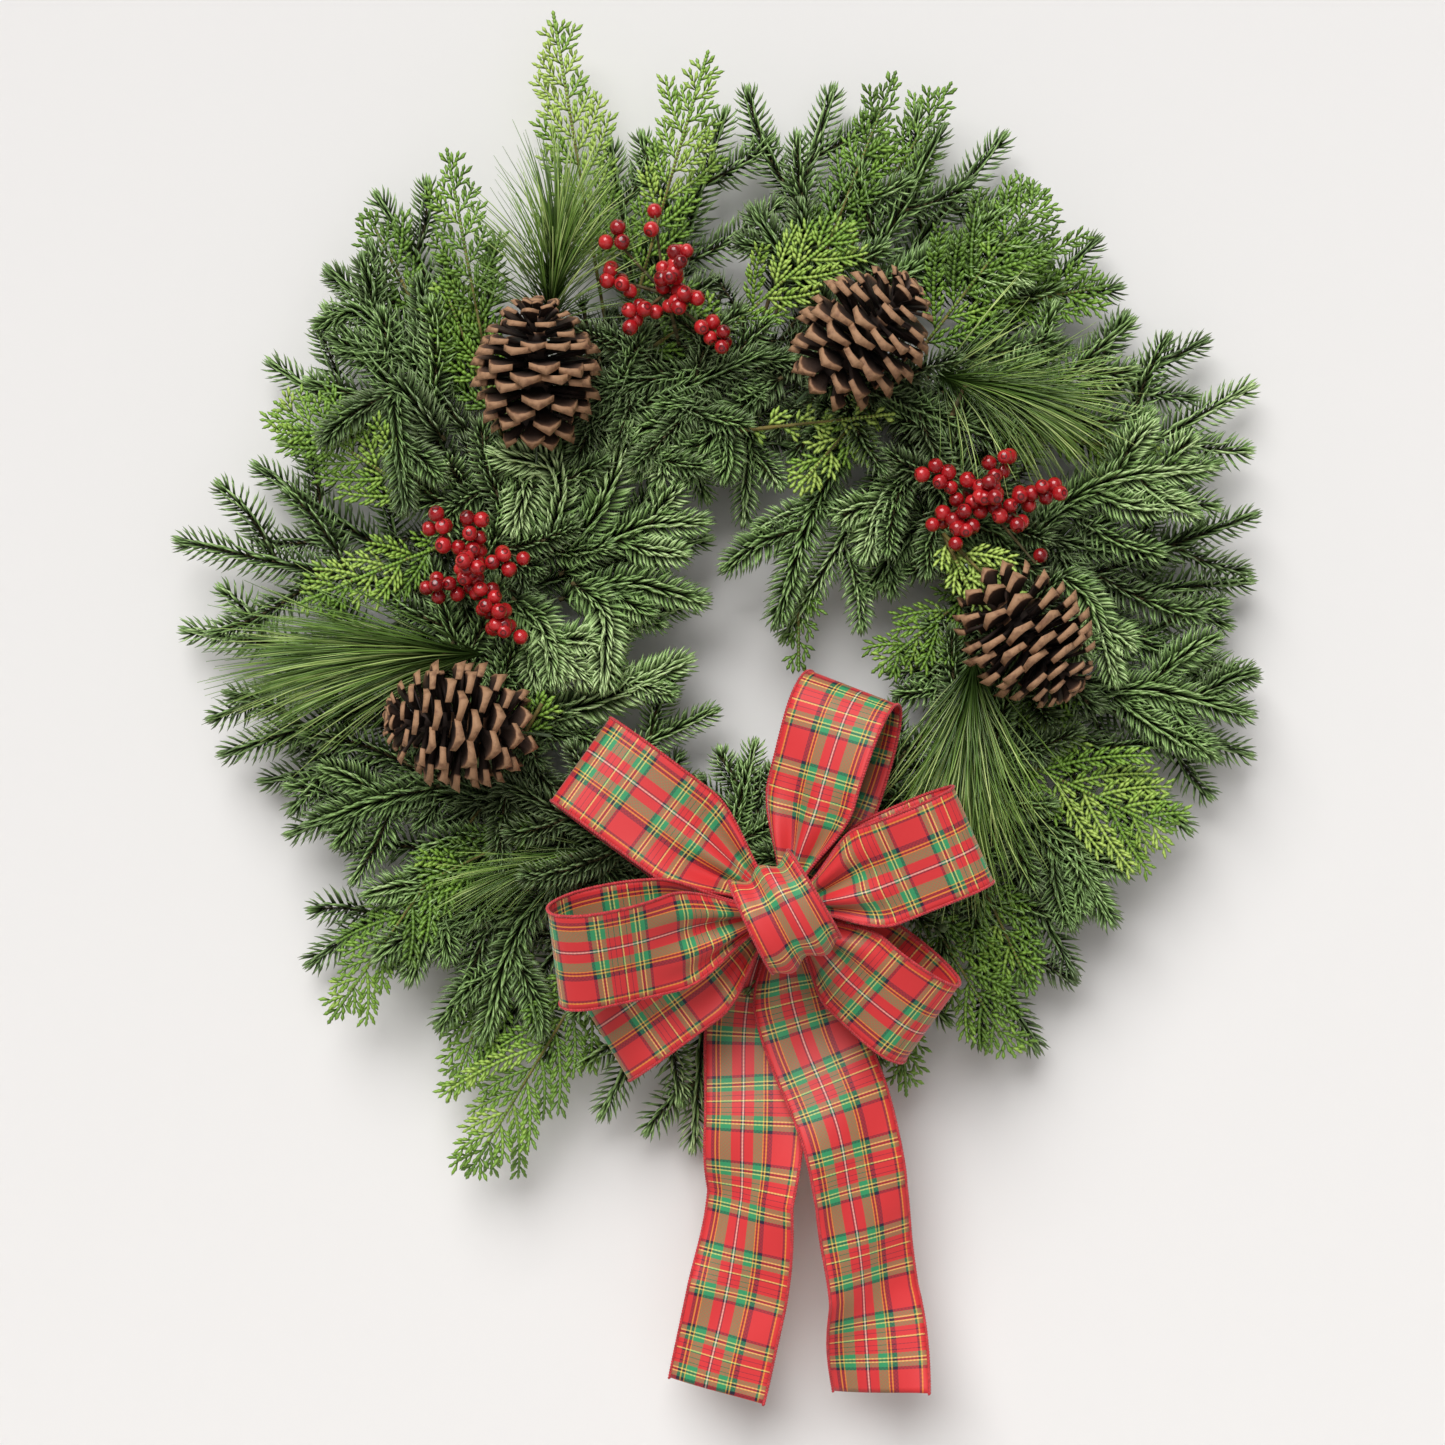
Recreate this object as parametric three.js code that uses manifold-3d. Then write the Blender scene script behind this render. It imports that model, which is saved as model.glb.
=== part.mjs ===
// A fresh evergreen wreath, hung on a wall by its wire ring, with a tartan bow at its lower right.
// Millimetres. The wreath faces -Y, +X is to its right and +Z is up. It is laid out round the middle of
// the ring, and the whole is then moved so that the origin is the hook seat: the flat on the underside
// of the ring at its top, where a wall hook carries the wreath.
import * as THREE from "three";
import { mergeVertices } from "three/addons/utils/BufferGeometryUtils.js";
import Module from "manifold-3d";

const wasm = await Module();
wasm.setup();

// Driving dimensions
const RING_RADIUS = 178;
const RING_WIRE_RADIUS = 2.5;
const RING_SIDES = 8;
const RING_SEGMENTS = 24;
const SLOTS = 48;
const FOOT_SIDESTEP = 2.3;
const FOOT_RADIUS = 2;
const FOOT_LENGTH = 16;
const BINDING_RADIUS = 8.95;
const BINDING_WIRE_RADIUS = 0.5;
const BINDING_STEPS = 5;
const GAP = 0.32;
const RING_FRONT = RING_WIRE_RADIUS * Math.cos(Math.PI / RING_SIDES);

const NEEDLE_LENGTH = 24;
const NEEDLE_BASE = 2.6;
const NEEDLE_SPLAY = THREE.MathUtils.degToRad(54);
const NEEDLE_PITCH = 21.5;
const NEEDLE_TWIST = THREE.MathUtils.degToRad(40);
const TWIG_RADIUS = 1.8;
const BRANCHING = 0.7;
const PINE_NEEDLE_LENGTH = 105;
const PINE_TUFT_LENGTH = 30;
const PINE_TWIST = THREE.MathUtils.degToRad(34);
const CEDAR_THICKNESS = 1.0;
const BERRY_RADIUS = 4.7;
const BERRY_STALK = 10;
const CONE_LENGTH = 96;
const CONE_RADIUS = 41;
const CONE_SIDES = 8;
const CONE_RINGS = 7;
const CONE_LIP = 3.5;
const CONE_CORE_FROM = 0.12;
const CONE_CORE_TO = 0.86;
const HOLDING_WIRE_RADIUS = 1.1;

const RIBBON_WIDTH = 63.5;
const RIBBON_THICKNESS = 1.0;
const BOW_CENTRE = { x: 30, z: -182, depth: 100 };
const PINCH_RADIUS = 8.1;
const PINCH_BACK = 72;
const PINCH_FRONT = 115;
const PINCH_SIDES = 12;

const GOLDEN_ANGLE = Math.PI * (3 - Math.sqrt(5));

// Fir bunches. Each spray is [tip x, tip z, depth of the spray in front of the ring, side twigs].
const FIR_BUNCHES = [
  { slot: 0, sprays: [[328, 26, 14, 0], [328, 66, 32, 1], [330, -34, 22, 0]] },
  { slot: 2, sprays: [[303, 100, 42, 1], [330, 150, 14, 0]] },
  { slot: 4, sprays: [[300, 180, 14, 0], [250, 189, 34, 0]] },
  { slot: 6, sprays: [[231, 244, 14, 0], [194, 234, 36, 0], [34, -6, 30, 0]] },
  { slot: 9, sprays: [[171, 311, 14, 0], [130, 311, 32, 0]] },
  { slot: 11, sprays: [[62, 340, 14, 0], [90, 305, 34, 0], [6, 70, 30, 0]] },
  { slot: 14, sprays: [[-8, 325, 16, 0], [-80, 305, 14, 0], [-20, 84, 30, 0]] },
  { slot: 18, sprays: [[-229, 272, 14, 1], [-256, 222, 32, 0]] },
  { slot: 20, sprays: [[-296, 165, 14, 0], [-258, 196, 36, 0], [-209, 74, 46, 0]] },
  { slot: 23, sprays: [[-305, 98, 14, 0], [-352, 51, 30, 0], [-70, 112, 44, 0], [-22, 52, 28, 0]] },
  { slot: 25, sprays: [[-351, -6, 14, 0], [-323, -83, 30, 0], [-24, 13, 34, 0]] },
  { slot: 27, sprays: [[-300, -102, 14, 0], [-280, -134, 34, 0], [-40, -26, 26, 0]] },
  { slot: 29, sprays: [[-271, -218, 14, 0], [-200, -196, 36, 0], [-18, -60, 26, 0]] },
  { slot: 32, sprays: [[-161, -279, 14, 0], [-218, -220, 32, 0]] },
  { slot: 35, sprays: [[-83, -312, 30, 0], [-27, -335, 14, 1], [12, -84, 20, 0]] },
  { slot: 39, sprays: [[107, -282, 14, 0], [45, -290, 30, 0]] },
  { slot: 41, sprays: [[193, -272, 14, 0], [187, -226, 32, 0]] },
  { slot: 43, sprays: [[239, -187, 14, 0], [215, -220, 30, 0], [241, -152, 40, 0]] },
  { slot: 46, sprays: [[328, -84, 14, 0], [287, -130, 32, 0], [236, -40, 48, 0]] },
];

// Cedar fronds: [tip x, tip z, depth, width of the frond, branchlets on each side].
const CEDAR_BUNCHES = [
  { slot: 1, name: "inner_right", fronds: [[92, -30, 42, 46, 5]] },
  { slot: 7, name: "upper_right_fan", fronds: [[196, 272, 56, 84, 7]] },
  { slot: 10, name: "top_right", fronds: [[102, 349, 44, 44, 5], [138, 345, 30, 50, 5]] },
  { slot: 12, name: "bright_top", fronds: [[72, 250, 62, 56, 6]] },
  { slot: 15, name: "top_tall", fronds: [[-116, 387, 40, 58, 7], [-18, 360, 52, 52, 6]] },
  { slot: 19, name: "upright_left", fronds: [[-183, 297, 54, 52, 6]] },
  { slot: 21, name: "bright_left", fronds: [[-290, 137, 58, 66, 6], [-274, 11, 66, 46, 4]] },
  { slot: 28, name: "long_left", fronds: [[-257, -253, 48, 56, 7]] },
  { slot: 30, name: "hanging_left", fronds: [[-184, -306, 30, 48, 5]] },
  { slot: 33, name: "bottom", fronds: [[-170, -354, 40, 76, 7]] },
  { slot: 40, name: "lower_right", fronds: [[178, -277, 46, 56, 6], [110, -300, 38, 46, 4]] },
  { slot: 44, name: "right_fan", fronds: [[275, -134, 58, 84, 7]] },
];

// Pine tufts: middle of the tuft, its depth, and the way its needles point on the whole.
const PINE_TUFTS = [
  { slot: 16, x: -116, z: 214, depth: 60, towards: [-0.1, 1], rows: 7 },
  { slot: 5, x: 146, z: 150, depth: 62, towards: [1, -0.15], rows: 8 },
  { slot: 24, x: -190, z: -22, depth: 62, towards: [-1, -0.1], rows: 8 },
  { slot: 31, x: -104, z: -156, depth: 44, towards: [-1, -0.35], rows: 5 },
  { slot: 45, x: 146, z: -46, depth: 60, towards: [0.05, -1], rows: 7 },
];

// Cones: middle, the way the tip points in the picture plane, and how far it leans to the front.
const CONES = [
  { slot: 17, x: -124, z: 159, depth: 92, towards: [0.02, 1], lean: 0.35 },
  { slot: 8, x: 84, z: 180, depth: 92, towards: [0.72, 0.69], lean: 0.3 },
  { slot: 47, x: 186, z: -16, depth: 92, towards: [0.64, -0.77], lean: 0.1 },
  { slot: 26, x: -178, z: -66, depth: 92, towards: [-1, 0.12], lean: 0.25 },
];

// Berry sprays: middle of the head, and its arms, each [end x, end z, rise to the front, rows of three].
const BERRY_SPRAYS = [
  { slot: 13, x: -44, z: 204, depth: 80, arms: [[-50, 250, 4, 2], [-80, 214, 6, 1], [-8, 172, 4, 2]] },
  { slot: 3, x: 152, z: 78, depth: 82, arms: [[124, 90, 10, 1], [142, 49, 12, 1], [198, 78, 6, 2], [164, 108, 8, 1]] },
  { slot: 22, x: -168, z: 26, depth: 78, arms: [[-184, 60, 8, 2], [-156, -10, 12, 2], [-140, 32, 6, 1]] },
];

// Bow loops: direction round the knot, length, how far the loop is turned about its own length, tilt to
// the front, half its thickness, and the depth of its pinched end.
const BOW_LOOPS = [
  { name: "upper_left", angle: 143.5, length: 158, roll: 6, tilt: -3, swell: 15, depth: 92 },
  { name: "top", angle: 72, length: 146, roll: -26, tilt: -4, swell: 17, depth: 93 },
  { name: "right", angle: 22.6, length: 128, roll: 4, tilt: 11, swell: 16, depth: 99 },
  { name: "lower_right", angle: -37, length: 118, roll: 22, tilt: -4, swell: 16, depth: 90 },
  { name: "left", angle: 191, length: 146, roll: -20, tilt: 10, swell: 18, depth: 99 },
  { name: "lower_left", angle: 216, length: 142, roll: 0, tilt: -9, swell: 13, depth: 86 },
];

// Ribbon tails, as points [x, z, depth, turn about the length in degrees] from the knot down.
const RIBBON_TAILS = [
  { name: "left", points: [[27, -190.6, 75.4, 0], [20, -214, 55, 0], [13, -262, 46, 8], [12, -323, 60, 34], [6, -404, 56, 8], [-12, -492, 50, 18]] },
  { name: "right", points: [[33, -190.6, 80.8, 0], [37, -214, 61, 0], [49, -262, 57, -8], [72, -323, 70, -28], [86, -410, 62, -22], [93, -492, 54, 16]] },
];

const FINISHES = {
  ring: new THREE.MeshStandardMaterial({ color: "#2f4a35", roughness: 0.45, metalness: 0.8 }),
  wire: new THREE.MeshStandardMaterial({ color: "#4a5a3c", roughness: 0.5, metalness: 0.8 }),
  fir: new THREE.MeshStandardMaterial({ color: "#3d6140", roughness: 0.7, metalness: 0 }),
  cedar: new THREE.MeshStandardMaterial({ color: "#4e7f34", roughness: 0.65, metalness: 0 }),
  pine: new THREE.MeshStandardMaterial({ color: "#5c8a42", roughness: 0.6, metalness: 0 }),
  cone: new THREE.MeshStandardMaterial({ color: "#76553a", roughness: 0.85, metalness: 0 }),
  berry: new THREE.MeshStandardMaterial({ color: "#b3141c", roughness: 0.25, metalness: 0 }),
  ribbon: new THREE.MeshStandardMaterial({ color: "#b8282c", roughness: 0.6, metalness: 0 }),
};

const wreath = new THREE.Group();
const placed = [];

function at(x, z, depth) {
  return new THREE.Vector3(x, -depth, z);
}

// Turns a closed three.js geometry into a solid whose faces point outwards.
function toSolid(geometry) {
  const bare = geometry.clone();
  for (const name of Object.keys(bare.attributes)) {
    if (name !== "position") bare.deleteAttribute(name);
  }
  const merged = mergeVertices(bare, 1e-4);
  const points = merged.attributes.position.array;
  const corners = merged.index.array;
  const faces = [];
  let volume = 0;
  const [a, b, c] = [new THREE.Vector3(), new THREE.Vector3(), new THREE.Vector3()];
  for (let i = 0; i < corners.length; i += 3) {
    const [p, q, r] = corners.slice(i, i + 3);
    if (p === q || q === r || r === p) continue;
    faces.push([p, q, r]);
    a.fromArray(points, p * 3);
    b.fromArray(points, q * 3);
    c.fromArray(points, r * 3);
    volume += a.dot(b.cross(c));
  }
  const outward = volume > 0 ? faces : faces.map(([p, q, r]) => [p, r, q]);
  const mesh = new wasm.Mesh({
    numProp: 3,
    vertProperties: new Float32Array(points),
    triVerts: new Uint32Array(outward.flat()),
  });
  return new wasm.Manifold(mesh);
}

// Joins solids into one body. A hollow that the joining seals is filled, and loose scrap is dropped.
function fuse(solids) {
  const bodies = wasm.Manifold.union(solids).decompose();
  return bodies.sort((one, other) => other.volume() - one.volume())[0];
}

function apart(one, other, gap) {
  return [0, 1, 2].some(
    (axis) => one.min[axis] > other.max[axis] + gap || other.min[axis] > one.max[axis] + gap,
  );
}

// True when a solid keeps the gap to every placed piece other than its own.
function isClear(solid, ownName = "", gap = GAP) {
  const box = solid.boundingBox();
  return placed.every(
    (piece) =>
      piece.name === ownName ||
      apart(box, piece.box, gap) ||
      solid.minGap(piece.solid, gap * 1.1) >= gap,
  );
}

function place(name, solid, finish) {
  const known = placed.find((piece) => piece.name === name);
  const piece = known ?? { name, finish };
  piece.solid = solid;
  piece.box = solid.boundingBox();
  if (!known) placed.push(piece);
  return piece;
}

function slotAngle(slot) {
  return ((slot + 0.5) * 2 * Math.PI) / SLOTS;
}

// The point where a stem leaves the ring. Neighbouring feet lie side by side on the front of the ring,
// each with a flat side down on it.
function slotPoint(slot, footRadius = FOOT_RADIUS, sides = 3) {
  const angle = slotAngle(slot);
  const radius = RING_RADIUS + (slot % 2 === 0 ? FOOT_SIDESTEP : -FOOT_SIDESTEP);
  const depth = RING_FRONT + GAP + footRadius * Math.cos(Math.PI / sides);
  return at(radius * Math.cos(angle), radius * Math.sin(angle), depth);
}

// The end of a foot: along the ring, past the turn of binding wire that two slots share.
function footEnd(slot, root) {
  const angle = slotAngle(slot);
  const side = slot % 2 === 0 ? 1 : -1;
  const along = new THREE.Vector3(-Math.sin(angle), 0, Math.cos(angle)).multiplyScalar(side);
  return root.clone().addScaledVector(along, FOOT_LENGTH);
}

// The course of a stem: up from the foot to its own depth, then out to the tip.
function stemCourse(slot, x, z, depth, root = slotPoint(slot)) {
  const lifted = at(root.x + 0.07 * (x - root.x), root.z + 0.07 * (z - root.z), depth * 0.86);
  const middle = at(root.x + 0.5 * (x - root.x), root.z + 0.5 * (z - root.z), depth * 1.04 + 3);
  return new THREE.CubicBezierCurve3(root, lifted, middle, at(x, z, depth));
}

// Stations along part of a course, evenly spaced, with a radius that tapers from end to end.
function stations(course, from, to, count, radiusFrom, radiusTo) {
  return Array.from({ length: count + 1 }, (_, k) => ({
    point: course.getPointAt(THREE.MathUtils.lerp(from, to, k / count)),
    radius: THREE.MathUtils.lerp(radiusFrom, radiusTo, k / count),
  }));
}

function footStation(slot, root = slotPoint(slot)) {
  return { point: footEnd(slot, root), radius: FOOT_RADIUS };
}

// Rings of points round a line of stations. The first has a flat side to the back. The section turns
// along with the line, and by the turn of each station.
function stemRings(line, sides) {
  const normal = new THREE.Vector3();
  const last = new THREE.Vector3();
  let twist = sides % 2 === 0 ? Math.PI / sides : 0;
  return line.map(({ point, radius, turn = 0 }, k) => {
    const before = line[Math.max(0, k - 1)].point;
    const after = line[Math.min(line.length - 1, k + 1)].point;
    const heading = after.clone().sub(before).normalize();
    if (k === 0) {
      normal.set(0, -1, 0);
      if (Math.abs(heading.y) > 0.9) normal.set(1, 0, 0);
      normal.projectOnPlane(heading).normalize();
    } else {
      normal.applyQuaternion(new THREE.Quaternion().setFromUnitVectors(last, heading));
    }
    last.copy(heading);
    twist -= turn;
    const side = heading.clone().cross(normal);
    const ring = Array.from({ length: sides }, (_, j) => {
      const angle = twist + (2 * Math.PI * j) / sides;
      return point
        .clone()
        .addScaledVector(normal, radius * Math.cos(angle))
        .addScaledVector(side, radius * Math.sin(angle));
    });
    return { ring, heading, point };
  });
}

// A closed stem. growth(step, corners, heading) may give the faces that grow out of one side of a step
// in place of its plain quad, and a tip point closes the far end with a spike.
function stem(line, sides, growth = () => null, tip = null) {
  const rings = stemRings(line, sides);
  const triangles = [];
  for (let k = 0; k + 1 < rings.length; k++) {
    for (let j = 0; j < sides; j++) {
      const next = (j + 1) % sides;
      const corners = [rings[k].ring[j], rings[k].ring[next], rings[k + 1].ring[next], rings[k + 1].ring[j]];
      const [a, b, c, d] = corners;
      triangles.push(...(growth(k, corners, rings[k]) ?? [[a, b, c], [a, c, d]]));
    }
  }
  const first = rings[0].ring;
  const end = rings[rings.length - 1].ring;
  for (let j = 1; j + 1 < sides; j++) triangles.push([first[0], first[j + 1], first[j]]);
  if (tip) end.forEach((spot, j) => triangles.push([spot, end[(j + 1) % sides], tip]));
  else for (let j = 1; j + 1 < sides; j++) triangles.push([end[0], end[j], end[j + 1]]);
  return toSolid(new THREE.BufferGeometry().setFromPoints(triangles.flat(2)));
}

function ring() {
  const apothemScale = 1 / Math.cos(Math.PI / RING_SEGMENTS);
  const profile = [];
  for (let i = 0; i <= RING_SIDES; i++) {
    const turn = ((i + 0.5) * 2 * Math.PI) / RING_SIDES;
    const radius = (RING_RADIUS + RING_WIRE_RADIUS * Math.cos(turn)) * apothemScale;
    profile.push(new THREE.Vector2(radius, RING_WIRE_RADIUS * Math.sin(turn)));
  }
  return toSolid(new THREE.LatheGeometry(profile, RING_SEGMENTS, Math.PI / RING_SEGMENTS));
}

// The binding wire winds round the ring and the feet, and crosses the front between pairs of slots.
function bindingWire() {
  const turns = SLOTS / 2;
  const steps = Math.round((turns - 0.4) * BINDING_STEPS);
  const line = [];
  for (let k = 0; k <= steps; k++) {
    const wind = (k * 2 * Math.PI) / BINDING_STEPS;
    const angle = slotAngle(36) + Math.PI / SLOTS + wind / turns;
    const radius = RING_RADIUS + BINDING_RADIUS * Math.sin(wind);
    const depth = BINDING_RADIUS * Math.cos(wind);
    line.push({ point: at(radius * Math.cos(angle), radius * Math.sin(angle), depth), radius: BINDING_WIRE_RADIUS });
  }
  return stem(line, 3);
}

// A needle drawn out of half of a side: three faces from a corner triangle to the needle's tip.
function needleOn([a, b, c, d], tip) {
  return [[a, b, tip], [b, c, tip], [c, a, tip], [a, c, d]];
}

function needleIsClear([a, b, c], tip, ownName) {
  const faces = [a, b, c, a, b, tip, b, c, tip, c, a, tip];
  const corners = [0, 2, 1, 3, 4, 5, 6, 7, 8, 9, 10, 11];
  const spike = new THREE.BufferGeometry().setFromPoints(corners.map((i) => faces[i]));
  return isClear(toSolid(spike), ownName);
}

function facing([a, b, c], heading) {
  const outward = b.clone().sub(a).cross(c.clone().sub(a));
  return outward.projectOnPlane(heading).normalize();
}

// A fir twig: short steps that bear a needle on each side, with longer bare steps between them.
function firTwig(course, bareTo, name, foot = []) {
  const reach = course.getLength();
  const rows = Math.max(2, Math.round((reach * (1 - bareTo)) / NEEDLE_PITCH));
  const line = foot.length
    ? [...foot, ...stations(course, 0, bareTo * 0.9, 2, TWIG_RADIUS, 1.5)]
    : stations(course, BRANCHING / reach, bareTo * 0.9, 1, TWIG_RADIUS, 1.5);
  const bearing = new Set();
  for (let i = 0; i < rows; i++) {
    const t = bareTo + ((1 - bareTo) * i) / rows;
    const radius = THREE.MathUtils.lerp(1.5, 0.9, i / rows);
    bearing.add(line.length);
    line.push({ point: course.getPointAt(t), radius, turn: NEEDLE_TWIST });
    line.push({ point: course.getPointAt(t + NEEDLE_BASE / reach), radius });
  }
  const tip = course.getPointAt(1).addScaledVector(course.getTangentAt(1), NEEDLE_LENGTH * 0.4);
  if (!name) return stem(line, 3, () => null, null);
  const growth = (k, corners, { heading }) => {
    if (!bearing.has(k)) return null;
    const [a, b, c] = corners;
    const spot = a.clone().add(b).add(c).divideScalar(3);
    const splay = NEEDLE_SPLAY - 0.3 * (k / line.length);
    const point = spot
      .addScaledVector(heading, NEEDLE_LENGTH * Math.cos(splay))
      .addScaledVector(facing(corners, heading), NEEDLE_LENGTH * Math.sin(splay));
    return needleIsClear(corners, point, name) ? needleOn(corners, point) : null;
  };
  return stem(line, 3, growth, needleIsClear(stemRings(line, 3).at(-1).ring, tip, name) ? tip : null);
}

// Side twigs leave the stem left and right of it, and point forward.
function sideTwigs(course, count) {
  return Array.from({ length: count }, (_, i) => {
    const t = 0.5 + 0.16 * i;
    const along = course.getTangentAt(t);
    const side = new THREE.Vector3(0, -1, 0).cross(along).normalize();
    side.multiplyScalar(i % 2 === 0 ? 1 : -1);
    const length = course.getLength() * (0.36 - 0.06 * i);
    const start = course.getPointAt(t);
    const end = start.clone().addScaledVector(along, length * 0.72).addScaledVector(side, length * 0.62);
    return new THREE.LineCurve3(start, end);
  });
}

// A fir bunch. Without a name it is bare, which keeps its room while the needles of others are grown.
function firBunch(bunch, name = "") {
  const parts = [];
  bunch.sprays.forEach(([x, z, depth, sideCount], i) => {
    const course = stemCourse(bunch.slot, x, z, depth);
    parts.push(firTwig(course, 0.22, name, i === 0 ? [footStation(bunch.slot)] : []));
    for (const twig of sideTwigs(course, sideCount)) parts.push(firTwig(twig, 0.16, name));
  });
  return fuse(parts);
}

// The outline of a cedar frond along a straight rib: toothed branchlets that slant forward.
function frondOutline(length, width, pairs) {
  const pitch = (length * 0.86) / pairs;
  const halfRib = 1.1;
  const right = [];
  const left = [];
  for (let i = 0; i < pairs; i++) {
    const reach = width * 0.5 * (0.42 + 0.58 * Math.sin(Math.PI * (0.16 + (0.7 * i) / pairs)));
    for (const [edge, offset] of [[right, 0], [left, pitch * 0.45]]) {
      const start = 2 + offset + i * pitch;
      edge.push([start, halfRib]);
      edge.push([start + reach * 0.9, halfRib + reach]);
      edge.push([start + pitch * 0.62, halfRib]);
    }
  }
  const tip = [[length, 0.9], [length, -0.9]];
  const base = [[0, -halfRib], [0, halfRib]];
  const under = left.reverse().map(([u, v]) => [u, -v]);
  const clockwise = [base[1], ...right, ...tip, ...under, base[0]];
  return clockwise.reverse().map(([u, v]) => new THREE.Vector2(u, v));
}

// The thin arched blade of a frond: its outline laid along the outer part of the stem's course.
function frondBlade(course, from, width, pairs) {
  const length = course.getLength() * (1 - from);
  const outline = frondOutline(length, width, pairs);
  const skins = [-0.5, 0.5].map((level) =>
    outline.map(({ x: u, y: v }) => {
      const t = THREE.MathUtils.clamp(from + ((1 - from) * u) / length, 0, 1);
      const along = course.getTangentAt(t);
      const side = new THREE.Vector3(0, -1, 0).cross(along).normalize();
      const front = along.clone().cross(side).normalize();
      if (front.y > 0) front.negate();
      const droop = (v * v) / (width * 3);
      return course
        .getPointAt(t)
        .addScaledVector(side, v)
        .addScaledVector(front, level * CEDAR_THICKNESS - droop);
    }),
  );
  const count = outline.length;
  const corners = [];
  for (const [a, b, c] of THREE.ShapeUtils.triangulateShape(outline, [])) {
    corners.push(a, b, c, count + a, count + c, count + b);
  }
  for (let i = 0; i < count; i++) {
    const next = (i + 1) % count;
    corners.push(next, i, count + i, next, count + i, count + next);
  }
  const geometry = new THREE.BufferGeometry().setFromPoints(skins.flat());
  geometry.setIndex(corners);
  return toSolid(geometry);
}

function cedarBunch(bunch) {
  const parts = [];
  bunch.fronds.forEach(([x, z, depth, width, pairs], i) => {
    const course = stemCourse(bunch.slot, x, z, depth);
    const foot = i === 0 ? [footStation(bunch.slot)] : [];
    const start = i === 0 ? 0 : BRANCHING / course.getLength();
    parts.push(stem([...foot, ...stations(course, start, 0.36, 3, 1.6, 1.3)], 3));
    parts.push(frondBlade(course, 0.34, width, pairs));
  });
  return fuse(parts);
}

// A pine tuft: a twig whose last stretch bears long needles that fan out, widest at its start.
function pineTuft(tuft, name = "") {
  const root = slotPoint(tuft.slot, FOOT_RADIUS, 4);
  const course = stemCourse(tuft.slot, tuft.x, tuft.z, tuft.depth, root);
  const heading = at(...tuft.towards, 0.1).normalize();
  const line = [footStation(tuft.slot, root), ...stations(course, 0, 0.9, 4, 1.8, 1.6)];
  const middle = at(tuft.x, tuft.z, tuft.depth);
  const bearing = new Map();
  for (let i = 0; i < tuft.rows; i++) {
    const point = middle.clone().addScaledVector(heading, (i * PINE_TUFT_LENGTH) / tuft.rows);
    bearing.set(line.length, i / (tuft.rows - 1));
    line.push({ point, radius: 1.6, turn: PINE_TWIST });
    line.push({ point: point.clone().addScaledVector(heading, NEEDLE_BASE), radius: 1.6 });
  }
  const growth = (k, corners) => {
    if (!name || !bearing.has(k)) return null;
    const splay = THREE.MathUtils.lerp(1.0, 0.24, bearing.get(k));
    const outward = facing(corners, heading);
    outward.y *= 0.6;
    const length = PINE_NEEDLE_LENGTH * (0.9 + 0.18 * Math.sin(k * 5 + corners[0].x));
    const [a, b, c] = corners;
    const point = a
      .clone()
      .add(b)
      .add(c)
      .divideScalar(3)
      .addScaledVector(heading, length * Math.cos(splay))
      .addScaledVector(outward, length * Math.sin(splay));
    return needleIsClear(corners, point, name) ? needleOn(corners, point) : null;
  };
  return stem(line, 4, growth);
}

// A cone scale drawn out of one side of the core: a wedge with a broad, ridged lip.
function scaleOn([a, b, c, d], left, right, ridge) {
  return [
    [a, b, right],
    [a, right, left],
    [b, c, right],
    [c, ridge, right],
    [c, d, ridge],
    [d, left, ridge],
    [d, a, left],
    [left, right, ridge],
  ];
}

function coneAxis(cone) {
  return at(...cone.towards, cone.lean).normalize();
}

// A point on the axis of a cone, as a share of its length from the base.
function coneSpot(cone, share) {
  return at(cone.x, cone.z, cone.depth).addScaledVector(coneAxis(cone), CONE_LENGTH * (share - 0.48));
}

// An open cone: a slim core whose every side grows into a scale, in rings turned half a scale apart.
function coneSolid(cone) {
  const outer = (t) => CONE_RADIUS * Math.pow(Math.sin(Math.PI * (0.17 + 0.78 * t)), 0.7);
  const axis = coneAxis(cone);
  const line = Array.from({ length: CONE_RINGS + 1 }, (_, k) => {
    const t = k / CONE_RINGS;
    return {
      point: coneSpot(cone, THREE.MathUtils.lerp(CONE_CORE_FROM, CONE_CORE_TO, t)),
      radius: outer(t) * 0.5,
      turn: Math.PI / CONE_SIDES,
    };
  });
  const growth = (k, corners, { point }) => {
    const t = (k + 0.5) / CONE_RINGS;
    const pitch = THREE.MathUtils.lerp(-0.5, 0.95, t);
    const outward = facing(corners, axis);
    const sideways = axis.clone().cross(outward);
    const root = point.clone().addScaledVector(axis, (CONE_LENGTH * 0.37) / CONE_RINGS);
    const lip = root
      .addScaledVector(outward, outer(t) * (0.5 + 0.5 * Math.cos(pitch)))
      .addScaledVector(axis, outer(t) * 0.55 * Math.sin(pitch));
    const half = (outer(t) * Math.PI * 0.84) / CONE_SIDES;
    const ridge = lip.clone().addScaledVector(axis, CONE_LIP).addScaledVector(outward, -1.2);
    return scaleOn(
      corners,
      lip.clone().addScaledVector(sideways, -half),
      lip.clone().addScaledVector(sideways, half),
      ridge,
    );
  };
  return stem(line, CONE_SIDES, growth, coneSpot(cone, 1));
}

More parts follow.
